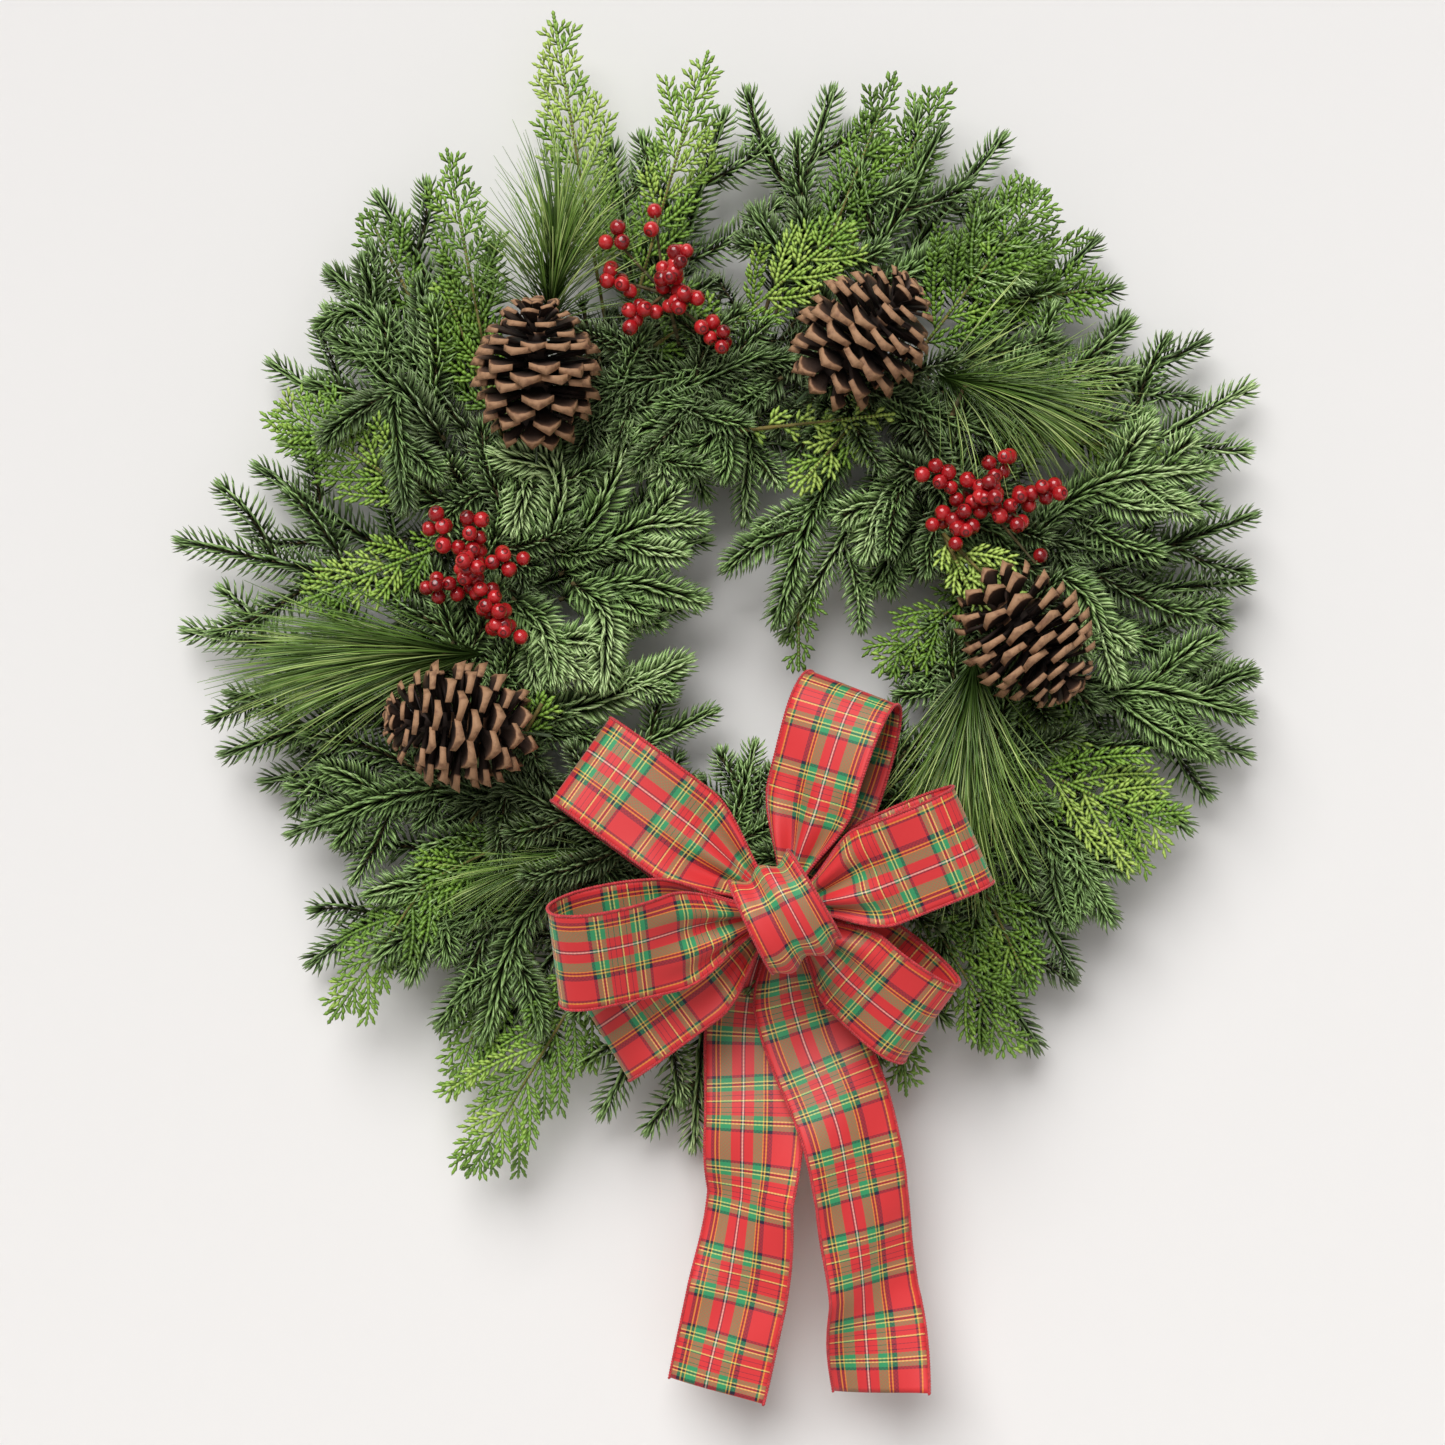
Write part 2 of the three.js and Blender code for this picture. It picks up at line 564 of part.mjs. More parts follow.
// A berry drawn out of half of a side: a stalk that widens into an icosahedron's open face.
function berryOn([a, b, c, d], middle, ball) {
  const heading = a.clone().add(b).add(c).divideScalar(3).sub(middle).normalize();
  const [p, q, r] = ball[0];
  const opening = p.clone().add(q).add(r).normalize();
  const turn = new THREE.Quaternion().setFromUnitVectors(opening, heading);
  const place = (spot) => spot.clone().applyQuaternion(turn).add(middle);
  const rim = ball[0].map(place).reverse();
  const sunk = [0, 1, 2].map((shift) => rim.map((_, i) => rim[(i + shift) % 3]));
  const spread = (loop) => loop[0].distanceTo(a) + loop[1].distanceTo(b) + loop[2].distanceTo(c);
  const [u, v, w] = sunk.sort((one, other) => spread(one) - spread(other))[0];
  const stalk = [[a, b, v], [a, v, u], [b, c, w], [b, w, v], [c, a, u], [c, u, w]];
  return [...stalk, ...ball.slice(1).map((face) => face.map(place)), [a, c, d]];
}

function icosahedronFaces() {
  const spots = new THREE.IcosahedronGeometry(BERRY_RADIUS, 0).attributes.position;
  const points = Array.from({ length: spots.count }, (_, i) => new THREE.Vector3().fromBufferAttribute(spots, i));
  return Array.from({ length: points.length / 3 }, (_, i) => points.slice(i * 3, i * 3 + 3));
}

// A spray of berries: each arm is a stem with short steps that bear a berry on each of its three sides.
function berrySpray(spray) {
  const ball = icosahedronFaces();
  const middle = at(spray.x, spray.z, spray.depth);
  const course = stemCourse(spray.slot, spray.x, spray.z, spray.depth);
  const head = { point: middle.clone().addScaledVector(course.getTangentAt(1), 3), radius: 1.3 };
  const parts = [stem([footStation(spray.slot), ...stations(course, 0, 1, 4, 1.5, 1.4), head], 3)];
  for (const [x, z, rise, rows] of spray.arms) {
    const end = at(x, z, spray.depth + rise);
    const heading = end.clone().sub(middle).normalize();
    const line = [{ point: middle.clone().addScaledVector(heading, -3), radius: 1.3 }];
    const bearing = new Set();
    for (let i = 0; i < rows; i++) {
      const point = middle.clone().lerp(end, (i + 1) / rows);
      bearing.add(line.length);
      line.push({ point, radius: 1.2, turn: Math.PI / 3 });
      line.push({ point: point.clone().addScaledVector(heading, 2), radius: 1.2 });
    }
    const growth = (k, corners) => {
      if (!bearing.has(k)) return null;
      const outward = facing(corners, heading);
      const spot = corners[0]
        .clone()
        .addScaledVector(outward, BERRY_STALK)
        .addScaledVector(heading, BERRY_STALK * 0.4);
      return berryOn(corners, spot, ball);
    };
    parts.push(stem(line, 3, growth));
  }
  return fuse(parts);
}

function smooth(value) {
  const t = Math.min(1, Math.max(0, value));
  return t * t * (3 - 2 * t);
}

// A band of ribbon: a box geometry whose length follows stations of centre, across and outward vectors.
function band(stationAt, steps) {
  const geometry = new THREE.BoxGeometry(1, 1, 1, steps, 1, 1);
  const position = geometry.attributes.position;
  for (let i = 0; i < position.count; i++) {
    const { centre, across, outward } = stationAt(position.getX(i) + 0.5);
    const spot = centre
      .clone()
      .addScaledVector(across, position.getY(i) * RIBBON_WIDTH)
      .addScaledVector(outward, position.getZ(i) * RIBBON_THICKNESS);
    position.setXYZ(i, spot.x, spot.y, spot.z);
  }
  return toSolid(geometry);
}

// Directions of a loop: out from the knot, across the ribbon, and through the thickness of the loop.
function loopAxes({ angle, roll, tilt }) {
  const turn = THREE.MathUtils.degToRad(angle);
  const rise = THREE.MathUtils.degToRad(tilt);
  const out = at(Math.cos(turn) * Math.cos(rise), Math.sin(turn) * Math.cos(rise), Math.sin(rise));
  const across = new THREE.Vector3(0, -1, 0).cross(out).normalize();
  across.applyAxisAngle(out, THREE.MathUtils.degToRad(roll));
  const through = out.clone().cross(across).normalize();
  if (through.y > 0) through.negate();
  return { out, across, through };
}

function bowLoop(loop) {
  const { out, across, through } = loopAxes(loop);
  const root = at(BOW_CENTRE.x, BOW_CENTRE.z, loop.depth).addScaledVector(out, 9);
  const reach = loop.length - 9;
  const side = [[0, 1.6], [0.22, 0.42 * loop.swell], [0.55, 0.92 * loop.swell], [0.82, loop.swell]];
  const nose = [[0.96, 0.62 * loop.swell], [1, 0], [0.96, -0.62 * loop.swell]];
  const back = side.map(([a, b]) => [a, -b]).reverse();
  const points = [...side, ...nose, ...back].map(([a, b]) => new THREE.Vector3(a * reach, b, 0));
  const course = new THREE.CatmullRomCurve3(points, false, "centripetal");
  return band((s) => {
    const flat = course.getPointAt(s);
    const heading = course.getTangentAt(s);
    const spread = 0.2 + 0.8 * smooth((flat.x / reach) * 2.1);
    return {
      centre: root.clone().addScaledVector(out, flat.x).addScaledVector(through, flat.y),
      across: across.clone().multiplyScalar(spread),
      outward: out.clone().multiplyScalar(-heading.y).addScaledVector(through, heading.x),
    };
  }, 14);
}

// The centre loop: a short ring of ribbon round the pinch, its open side turned to the lower left.
function centreLoop() {
  const { out, across, through } = loopAxes({ angle: 118, roll: 0, tilt: 4 });
  const middle = at(BOW_CENTRE.x, BOW_CENTRE.z, BOW_CENTRE.depth + 36);
  return band((s) => {
    const turn = -Math.PI / 2 + 0.06 + s * (2 * Math.PI - 0.12);
    const outward = out.clone().multiplyScalar(Math.cos(turn)).addScaledVector(through, Math.sin(turn));
    return {
      centre: middle
        .clone()
        .addScaledVector(out, Math.cos(turn) * 33)
        .addScaledVector(through, Math.sin(turn) * 20),
      across: across.clone().multiplyScalar(0.72 + 0.2 * smooth((Math.sin(turn) + 1) / 2)),
      outward,
    };
  }, 14);
}

// The gathered middle of the ribbon, where all the loops and tails meet.
function bowPinch() {
  const length = PINCH_FRONT - PINCH_BACK;
  const geometry = new THREE.CylinderGeometry(PINCH_RADIUS, PINCH_RADIUS, length, PINCH_SIDES);
  const middle = at(BOW_CENTRE.x, BOW_CENTRE.z, (PINCH_BACK + PINCH_FRONT) / 2);
  return toSolid(geometry.translate(middle.x, middle.y, middle.z));
}

function ribbonTail(tail) {
  const points = tail.points.map(([x, z, depth]) => at(x, z, depth));
  const course = new THREE.CatmullRomCurve3(points, false, "centripetal");
  const last = tail.points.length - 1;
  return band((s) => {
    const k = Math.min(last - 1, Math.floor(s * last));
    const yaw = THREE.MathUtils.lerp(tail.points[k][3], tail.points[k + 1][3], s * last - k);
    const heading = course.getTangentAt(s);
    const across = heading.clone().cross(new THREE.Vector3(0, 1, 0)).normalize();
    across.applyAxisAngle(heading, THREE.MathUtils.degToRad(yaw));
    const spread = 0.24 + 0.76 * smooth(s * 5);
    return {
      centre: course.getPointAt(s),
      across: across.clone().multiplyScalar(spread),
      outward: across.clone().cross(heading).normalize(),
    };
  }, 12);
}

// A wire from the ring to what it holds, which it meets along the given direction.
function holdingWire(slot, end, direction) {
  const root = slotPoint(slot, HOLDING_WIRE_RADIUS);
  const far = end.clone().addScaledVector(direction, -30);
  const near = end.clone().addScaledVector(direction, -14);
  const lifted = far.clone().lerp(root, 0.5);
  const line = [footEnd(slot, root), root, lifted, far, near, end];
  return stem(line.map((point) => ({ point, radius: HOLDING_WIRE_RADIUS })), 3);
}

place("wire_ring", ring(), FINISHES.ring);
place("binding_wire", bindingWire(), FINISHES.wire);

CONES.forEach((cone, i) => {
  place(`pine_cone_${i + 1}`, coneSolid(cone), FINISHES.cone);
});
for (const loop of BOW_LOOPS) place(`bow_loop_${loop.name}`, bowLoop(loop), FINISHES.ribbon);
place("bow_centre_loop", centreLoop(), FINISHES.ribbon);
for (const tail of RIBBON_TAILS) place(`ribbon_tail_${tail.name}`, ribbonTail(tail), FINISHES.ribbon);
place("bow_pinch", bowPinch(), FINISHES.ribbon);
const tie = at(BOW_CENTRE.x, BOW_CENTRE.z, PINCH_BACK - GAP);
place("bow_wire", holdingWire(36, tie, at(0, 0, 1)), FINISHES.wire);
CONES.forEach((cone, i) => {
  const end = coneSpot(cone, CONE_CORE_FROM).addScaledVector(coneAxis(cone), -GAP);
  place(`cone_wire_${i + 1}`, holdingWire(cone.slot, end, coneAxis(cone)), FINISHES.wire);
});
BERRY_SPRAYS.forEach((spray, i) => {
  place(`berry_spray_${i + 1}`, berrySpray(spray), FINISHES.berry);
});
for (const bunch of CEDAR_BUNCHES) place(`cedar_${bunch.name}`, cedarBunch(bunch), FINISHES.cedar);
PINE_TUFTS.forEach((tuft, i) => place(`pine_tuft_${i + 1}`, pineTuft(tuft), FINISHES.pine));
FIR_BUNCHES.forEach((bunch, i) => place(`fir_bunch_${i + 1}`, firBunch(bunch), FINISHES.fir));

PINE_TUFTS.forEach((tuft, i) => {
  const name = `pine_tuft_${i + 1}`;
  place(name, pineTuft(tuft, name), FINISHES.pine);
});
FIR_BUNCHES.forEach((bunch, i) => {
  const name = `fir_bunch_${i + 1}`;
  place(name, firBunch(bunch, name), FINISHES.fir);
});

for (const { name, solid, finish } of placed) {
  const { vertProperties, triVerts } = solid.getMesh();
  const geometry = new THREE.BufferGeometry();
  geometry.setAttribute("position", new THREE.BufferAttribute(vertProperties, 3));
  geometry.setIndex(new THREE.BufferAttribute(triVerts, 1));
  geometry.computeVertexNormals();
  const mesh = new THREE.Mesh(geometry, finish);
  mesh.name = name;
  wreath.add(mesh);
}

wreath.position.z = -(RING_RADIUS - RING_WIRE_RADIUS * Math.cos(Math.PI / RING_SIDES));

export default wreath;
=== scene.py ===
"""A fresh evergreen wreath with a tartan bow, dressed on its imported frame. Metres, front towards -Y."""

import math

import bmesh
import bpy
import numpy as np
from mathutils import Matrix, Vector


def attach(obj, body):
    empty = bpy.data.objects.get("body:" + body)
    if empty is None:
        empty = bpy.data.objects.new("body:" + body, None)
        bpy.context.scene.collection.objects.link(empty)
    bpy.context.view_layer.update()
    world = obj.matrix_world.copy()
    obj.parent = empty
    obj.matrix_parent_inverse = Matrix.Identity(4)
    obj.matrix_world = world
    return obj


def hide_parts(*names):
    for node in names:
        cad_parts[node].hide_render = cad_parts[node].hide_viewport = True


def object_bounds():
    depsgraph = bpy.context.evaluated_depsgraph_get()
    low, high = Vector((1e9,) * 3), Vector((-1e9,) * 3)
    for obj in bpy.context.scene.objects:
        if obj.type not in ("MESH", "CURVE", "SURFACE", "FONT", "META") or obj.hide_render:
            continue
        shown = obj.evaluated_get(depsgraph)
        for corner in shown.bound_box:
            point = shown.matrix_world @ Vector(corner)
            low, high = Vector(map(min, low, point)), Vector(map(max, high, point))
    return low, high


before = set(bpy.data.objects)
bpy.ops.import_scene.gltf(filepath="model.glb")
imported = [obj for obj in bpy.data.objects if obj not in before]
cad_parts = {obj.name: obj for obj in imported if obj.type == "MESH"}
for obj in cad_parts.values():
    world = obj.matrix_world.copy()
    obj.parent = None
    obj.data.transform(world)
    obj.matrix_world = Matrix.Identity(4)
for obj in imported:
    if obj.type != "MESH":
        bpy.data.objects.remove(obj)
cad_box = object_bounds()

# Sizes are in millimetres unless a comment says otherwise. Depth runs from the ring's middle to the front.
MM = 0.001
RING_RADIUS = 178.0
RING_WIRE_RADIUS = 2.5
HOOK_ABOVE_CENTRE = 175.69
SLOTS = 48
FOOT_DEPTH = 3.63
FOOT_SIDESTEP = 2.3
FOOT_LENGTH = 16.0
FOOT_RADIUS = 2.0
# The two bends of a stem: share of its way out, share of its depth, and a little more depth.
STEM_BENDS = [(0.07, 0.86, 0.0), (0.5, 1.04, 3.0)]
# The turn from one leaf, needle or cone scale to the next round its stem.
GOLDEN = math.pi * (3 - math.sqrt(5))
FRONT = np.array((0.0, -1.0, 0.0))
# A direction that no stem runs along, from which crosswise directions are taken.
ASKEW = np.array((0.31, 0.2, 0.93))
# The plane that the back of the greenery rests on, and the face of the wall just behind it, in metres.
WALL_CONTACT = cad_box[1][1]
WALL_FACE = 0.0085
FLOOR_HEIGHT = -0.95

RIBBON_WIDTH = 63.5
RIBBON_THICKNESS = 0.4
TARTAN_REPEAT = 56.0
BOW_CENTRE = (30.0, -182.0, 100.0)

# Fir bunches on the frame: slot, and sprays as [tip x, tip z, depth].
FIR_BUNCHES = [
    (0, [(328, 26, 14), (328, 66, 32), (330, -34, 22)]),
    (2, [(303, 100, 42), (330, 150, 14)]),
    (4, [(300, 180, 14), (250, 189, 34)]),
    (6, [(231, 244, 14), (194, 234, 36), (34, -6, 30)]),
    (9, [(171, 311, 14), (130, 311, 32)]),
    (11, [(62, 340, 14), (90, 305, 34), (6, 70, 30)]),
    (14, [(-8, 325, 16), (-80, 305, 14), (-20, 84, 30)]),
    (18, [(-229, 272, 14), (-256, 222, 32)]),
    (20, [(-296, 165, 14), (-258, 196, 36), (-209, 74, 46)]),
    (23, [(-305, 98, 14), (-352, 51, 30), (-70, 112, 44), (-22, 52, 28)]),
    (25, [(-351, -6, 14), (-323, -83, 30), (-24, 13, 34)]),
    (27, [(-300, -102, 14), (-280, -134, 34), (-40, -26, 26)]),
    (29, [(-271, -218, 14), (-200, -196, 36), (-18, -60, 26)]),
    (32, [(-161, -279, 14), (-218, -220, 32)]),
    (35, [(-83, -312, 30), (-27, -335, 14), (12, -84, 20)]),
    (39, [(107, -282, 14), (45, -290, 30)]),
    (41, [(193, -272, 14), (187, -226, 32)]),
    (43, [(239, -187, 14), (215, -220, 30), (241, -152, 40)]),
    (46, [(328, -84, 14), (287, -130, 32), (236, -40, 48)]),
]

# Cedar branches on the frame: slot, name, shade, and fronds as [tip x, tip z, depth, width].
CEDAR_BUNCHES = [
    (1, "inner_right", 0.4, [(92, -30, 42, 46)]),
    (7, "upper_right_fan", 0.4, [(196, 272, 56, 84)]),
    (10, "top_right", 0.4, [(102, 349, 44, 44), (138, 345, 30, 50)]),
    (12, "bright_top", 0.66, [(72, 250, 62, 56)]),
    (15, "top_tall", 0.66, [(-116, 387, 40, 58), (-18, 360, 52, 52)]),
    (19, "upright_left", 0.4, [(-183, 297, 54, 52)]),
    (21, "bright_left", 0.66, [(-290, 137, 58, 66), (-274, 11, 66, 46)]),
    (28, "long_left", 0.4, [(-257, -253, 48, 56)]),
    (30, "hanging_left", 0.4, [(-184, -306, 30, 48)]),
    (33, "bottom", 0.4, [(-170, -354, 40, 76)]),
    (40, "lower_right", 0.4, [(178, -277, 46, 56), (110, -300, 38, 46)]),
    (44, "right_fan", 0.66, [(275, -134, 58, 84)]),
]

# Fir sprays laid over the others: root, bend and tip as [x, z], depth, shade and side twigs.
FIR_FRONT = [
    ((-117, 44), (-112, 92), (-146, 104), 66, 0.95, 0),
    ((-146, 104), (-134, 90), (-138, 62), 60, 0.9, 0),
    ((-150, 10), (-128, -8), (-96, -36), 58, 0.85, 3),
    ((-104, 24), (-84, 6), (-83, -36), 60, 0.85, 0),
    ((-142, 14), (-122, -4), (-116, -34), 62, 0.7, 0),
    ((-150, -60), (-96, -54), (-36, -28), 44, 0.75, 0),
    ((-110, 42), (-84, 74), (-70, 116), 60, 0.75, 0),
    ((-112, 30), (-66, 58), (-24, 62), 56, 0.7, 2),
    ((-112, 14), (-70, 24), (-26, 14), 52, 0.66, 1),
    ((-186, 116), (-216, 148), (-210, 76), 60, 0.2, 2),
    ((-170, 120), (-236, 196), (-262, 190), 44, 0.25, 3),
    ((-20, 150), (-40, 118), (-60, 98), 58, 0.7, 2),
    ((30, 156), (-6, 128), (-30, 92), 56, 0.45, 3),
    ((70, 110), (48, 66), (28, 4), 46, 0.5, 1),
    ((118, 100), (96, 78), (84, 44), 56, 0.8, 1),
    ((130, 130), (160, 152), (206, 136), 50, 0.6, 3),
    ((206, 30), (226, 12), (240, -34), 60, 0.85, 2),
    ((190, 60), (236, 88), (296, 96), 58, 0.7, 4),
    ((196, -60), (256, -44), (322, -58), 52, 0.5, 4),
    ((64, 196), (40, 224), (14, 258), 46, 0.3, 2),
    ((96, 214), (140, 236), (194, 234), 50, 0.6, 3),
    ((-190, -106), (-230, -116), (-266, -128), 50, 0.4, 2),
    ((-150, -140), (-190, -180), (-206, -224), 46, 0.6, 3),
    ((-100, -150), (-140, -200), (-160, -262), 40, 0.35, 3),
    ((170, -120), (214, -150), (238, -188), 46, 0.45, 3),
    ((-150, -120), (-182, -112), (-216, -120), 36, 0.2, 2),
    ((180, 66), (206, 52), (244, 46), 40, 0.25, 2),
    ((-64, 172), (-50, 204), (-40, 244), 34, 0.15, 2),
    ((134, 70), (110, 54), (86, 22), 34, 0.3, 2),
    ((-96, -110), (-150, -112), (-196, -100), 30, 0.15, 2),
]

# Small cedar fronds laid over the others: root and tip as [x, z], depth, width and shade.
CEDAR_FRONT = [
    ((131, 53), (173, 8), 96, 40, 0.95),
    ((131, 53), (146, 18), 94, 30, 0.9),
    ((3, 121), (98, 130), 66, 18, 1.0),
    ((41, 38), (41, -29), 40, 26, 0.2),
    ((200, 120), (271, 107), 44, 34, 0.7),
    ((-136, -76), (-121, -51), 70, 26, 0.6),
    ((96, 150), (40, 84), 62, 40, 0.8),
    ((-60, 170), (-14, 200), 60, 40, 0.5),
    ((-190, 170), (-236, 262), 40, 44, 0.45),
    ((-150, 120), (-186, 214), 52, 54, 0.5),
    ((150, 200), (236, 214), 46, 50, 0.4),
    ((170, 30), (212, -90), 50, 46, 0.7),
    ((-120, -130), (-196, -166), 52, 50, 0.3),
    ((150, -150), (190, -236), 48, 48, 0.5),
]

# Pine tufts: slot, middle x, z and depth, the way the needles point, how many, their spread and length.
PINE_TUFTS = [
    (16, -116, 206, 62, (0.12, 1.0), 340, 1.0, 76),
    (5, 146, 150, 66, (1.0, -0.25), 320, 1.0, 78),
    (24, -180, -22, 66, (-1.0, -0.02), 380, 0.5, 116),
    (31, -104, -150, 50, (-1.0, -0.28), 170, 0.5, 62),
    (45, 150, -44, 66, (-0.08, -1.0), 330, 0.62, 110),
]

# Cones: middle x and z, the way the tip points in the picture plane, and its lean to the front.
CONES = [
    (-124, 159, (0.02, 1.0), 0.35),
    (84, 180, (0.72, 0.69), 0.3),
    (186, -16, (0.64, -0.77), 0.1),
    (-178, -66, (-1.0, 0.12), 0.25),
]
CONE_DEPTH = 92.0
CONE_LENGTH = 96.0
CONE_RADIUS = 41.0
CONE_SCALES = 84
# How far a cone's scales turn from square to its axis towards its tip, in radians, by share of its length.
SCALE_PITCH_AT = (0, 0.14, 0.3, 0.75, 1)
SCALE_PITCH = (-0.75, -0.3, 0.0, 0.3, 1.1)

# Berry sprays: slot, middle x, z and depth, and arms as [end x, end z, rise to the front, berries, and the
# share of the arm where they start].
BERRY_SPRAYS = [
    (
        13, -44, 204, 80,
        [
            (-50, 250, 4, 2, 0.9), (-80, 214, 6, 6, 0.5), (-76, 238, 6, 3, 0.8), (-8, 172, 4, 6, 0.5),
            (-64, 188, 6, 6, 0.4), (-36, 224, 18, 15, 0.0), (-30, 196, 12, 8, 0.0),
        ],
    ),
    (
        3, 152, 78, 82,
        [
            (124, 90, 10, 6, 0.3), (142, 52, 12, 8, 0.2), (198, 78, 6, 8, 0.4), (172, 104, 8, 5, 0.3),
            (128, 62, 8, 5, 0.5), (178, 62, 12, 8, 0.1), (160, 78, 18, 10, 0.0), (187, 34, 12, 1, 0.0),
        ],
    ),
    (
        22, -168, 26, 78,
        [
            (-186, 60, 8, 8, 0.2), (-164, 62, 12, 7, 0.4), (-140, 40, 8, 5, 0.5), (-188, 18, 8, 6, 0.3),
            (-150, 2, 14, 11, 0.1), (-142, -8, 8, 7, 0.5), (-166, 34, 18, 9, 0.0),
        ],
    ),
]
# Berries hang this far from their arm, keep this much from each other, and vary this much in radius.
BERRY_OFFSET = (4, 9)
BERRY_SPACING = 8.8
BERRY_RADIUS = (4.6, 5.3)

# Bow loops: name, direction, length, roll, tilt, half thickness and depth of the pinched end.
BOW_LOOPS = [
    ("upper_left", 143.5, 158, 6, -3, 15, 92),
    ("top", 72, 146, -26, -4, 17, 93),
    ("right", 22.6, 128, 4, 11, 16, 99),
    ("lower_right", -37, 118, 22, -4, 16, 90),
    ("left", 191, 146, -20, 10, 18, 99),
    ("lower_left", 216, 142, 0, -9, 13, 86),
]
# The centre loop: half its length and half its thickness, how far its middle lies in front of the knot, and
# the length of ribbon in it.
CENTRE_LOOP = (31, 20)
CENTRE_LOOP_FORWARD = 36
CENTRE_LOOP_RIBBON = 162.0
# The pinch: radius, length and the depth of its middle.
PINCH_RADIUS = 8.0
PINCH_LENGTH = 42.4
PINCH_DEPTH = 93.5

# Ribbon tails: name, and points as [x, z, depth, turn about the length in degrees].
RIBBON_TAILS = [
    (
        "left",
        [(27, -190.6, 75.4, 0), (20, -214, 55, 0), (13, -262, 46, 8), (12, -323, 60, 34), (6, -404, 56, 8),
         (-12, -492, 50, 18)],
    ),
    (
        "right",
        [(33, -190.6, 80.8, 0), (37, -214, 61, 0), (49, -262, 57, -8), (72, -323, 70, -28),
         (86, -410, 62, -22), (93, -492, 54, 16)],
    ),
]


def at(x, z, depth):
    """A place given from the middle of the ring, in millimetres, as a point in the frame."""
    return np.array((x, -depth, z - HOOK_ABOVE_CENTRE)) * MM


def unit(vectors):
    """The same directions, each one unit long."""
    return vectors / np.maximum(np.linalg.norm(vectors, axis=-1, keepdims=True), 1e-12)


def square_to(way, vectors):
    """The directions nearest to the given ones that are square to each way."""
    return unit(vectors - np.sum(vectors * way, axis=-1, keepdims=True) * way)


def turned(one, other, angles):
    """Directions that turn by each angle from one direction towards another."""
    return one * np.cos(angles)[:, None] + other * np.sin(angles)[:, None]


def smooth(value):
    """Goes gently from 0 to 1 as the value does."""
    t = np.clip(value, 0.0, 1.0)
    return t * t * (3 - 2 * t)


class Course:
    """A line that is walked by distance."""

    # Half the stretch over which its direction is taken.
    LOOK = 0.003

    def __init__(self, points):
        self.points = np.asarray(points, float)
        steps = np.linalg.norm(np.diff(self.points, axis=0), axis=1)
        self.reach = np.concatenate(([0.0], np.cumsum(steps)))
        self.length = float(self.reach[-1])

    def at(self, s):
        """The point at each distance."""
        return np.stack([np.interp(s, self.reach, self.points[:, k]) for k in range(3)], axis=-1)

    def along(self, s):
        """The direction of the line at each distance."""
        ahead = self.at(np.minimum(s + self.LOOK, self.length))
        return unit(ahead - self.at(np.maximum(s - self.LOOK, 0)))


def bezier(a, b, c, d, count=28):
    """A smooth line from a to d that sets out towards b and comes in from c."""
    t = np.linspace(0, 1, count)[:, None]
    return Course((1 - t) ** 3 * a + 3 * t * (1 - t) ** 2 * b + 3 * t * t * (1 - t) * c + t**3 * d)


def through(points, count):
    """A smooth line through a few points."""
    p = np.asarray(points, float)
    ends = np.vstack((2 * p[0] - p[1], p, 2 * p[-1] - p[-2]))
    out = []
    for u in np.linspace(0, len(p) - 1 - 1e-9, count):
        k = int(u)
        t = u - k
        a, b, c, d = ends[k : k + 4]
        bend = 2 * a - 5 * b + 4 * c - d
        twist = 3 * b - a - 3 * c + d
        out.append(0.5 * (2 * b + (c - a) * t + bend * t**2 + twist * t**3))
    return Course(out)


def slot_angle(slot):
    """The angle of a stem's place on the ring."""
    return (slot + 0.5) * 2 * math.pi / SLOTS


def slot_point(slot):
    """Where a stem leaves the ring. Every other one leaves it from a little further in."""
    angle = slot_angle(slot)
    radius = RING_RADIUS + (FOOT_SIDESTEP if slot % 2 == 0 else -FOOT_SIDESTEP)
    return np.array((radius * math.cos(angle), radius * math.sin(angle), FOOT_DEPTH))


def stem_course(slot, x, z, depth):
    """A stem's way: up from its foot on the ring to its own depth, then out to the tip."""
    rx, rz, foot_depth = slot_point(slot)
    bends = []
    for share, rise, more in STEM_BENDS:
        bends.append(at(rx + share * (x - rx), rz + share * (z - rz), depth * rise + more))
    return bezier(at(rx, rz, foot_depth), *bends, at(x, z, depth))


def foot_course(slot):
    """The end of a stem that is bound along the ring."""
    angle = slot_angle(slot)
    x, z, depth = slot_point(slot)
    way = FOOT_LENGTH if slot % 2 == 0 else -FOOT_LENGTH
    return Course([at(x - math.sin(angle) * way, z + math.cos(angle) * way, depth), at(x, z, depth)])


def laid_course(points, depth):
    """A way through a few points in the picture plane that rises 14 mm to its depth."""
    rises = np.linspace(depth - 14, depth, len(points))
    return through([at(x, z, rise) for (x, z), rise in zip(points, rises)], 24)


# Small shapes stand on their root at the origin and grow up +Z, one unit tall. A point of one above this
# height is at its far end.
FAR_END = 0.99


def small_shape(bm):
    """Turns a little bmesh into its points, triangles and heights, for setting in many places."""
    bmesh.ops.triangulate(bm, faces=bm.faces)
    bm.verts.index_update()
    spots = np.array([v.co[:] for v in bm.verts])
    # A bmesh ball lists its faces in another order on each run, so they are sorted.
    faces = np.array(sorted([v.index for v in f.verts] for f in bm.faces))
    height = spots[:, 2].copy()
    bm.free()
    return spots, faces, height


def cut_across(bm, marks, way=(0, 0, 1)):
    """Cuts rings of new points square to a direction, at marks along it."""
    for mark in marks:
        everything = bm.verts[:] + bm.edges[:] + bm.faces[:]
        bmesh.ops.bisect_plane(bm, geom=everything, plane_co=Vector(way) * mark, plane_no=way)


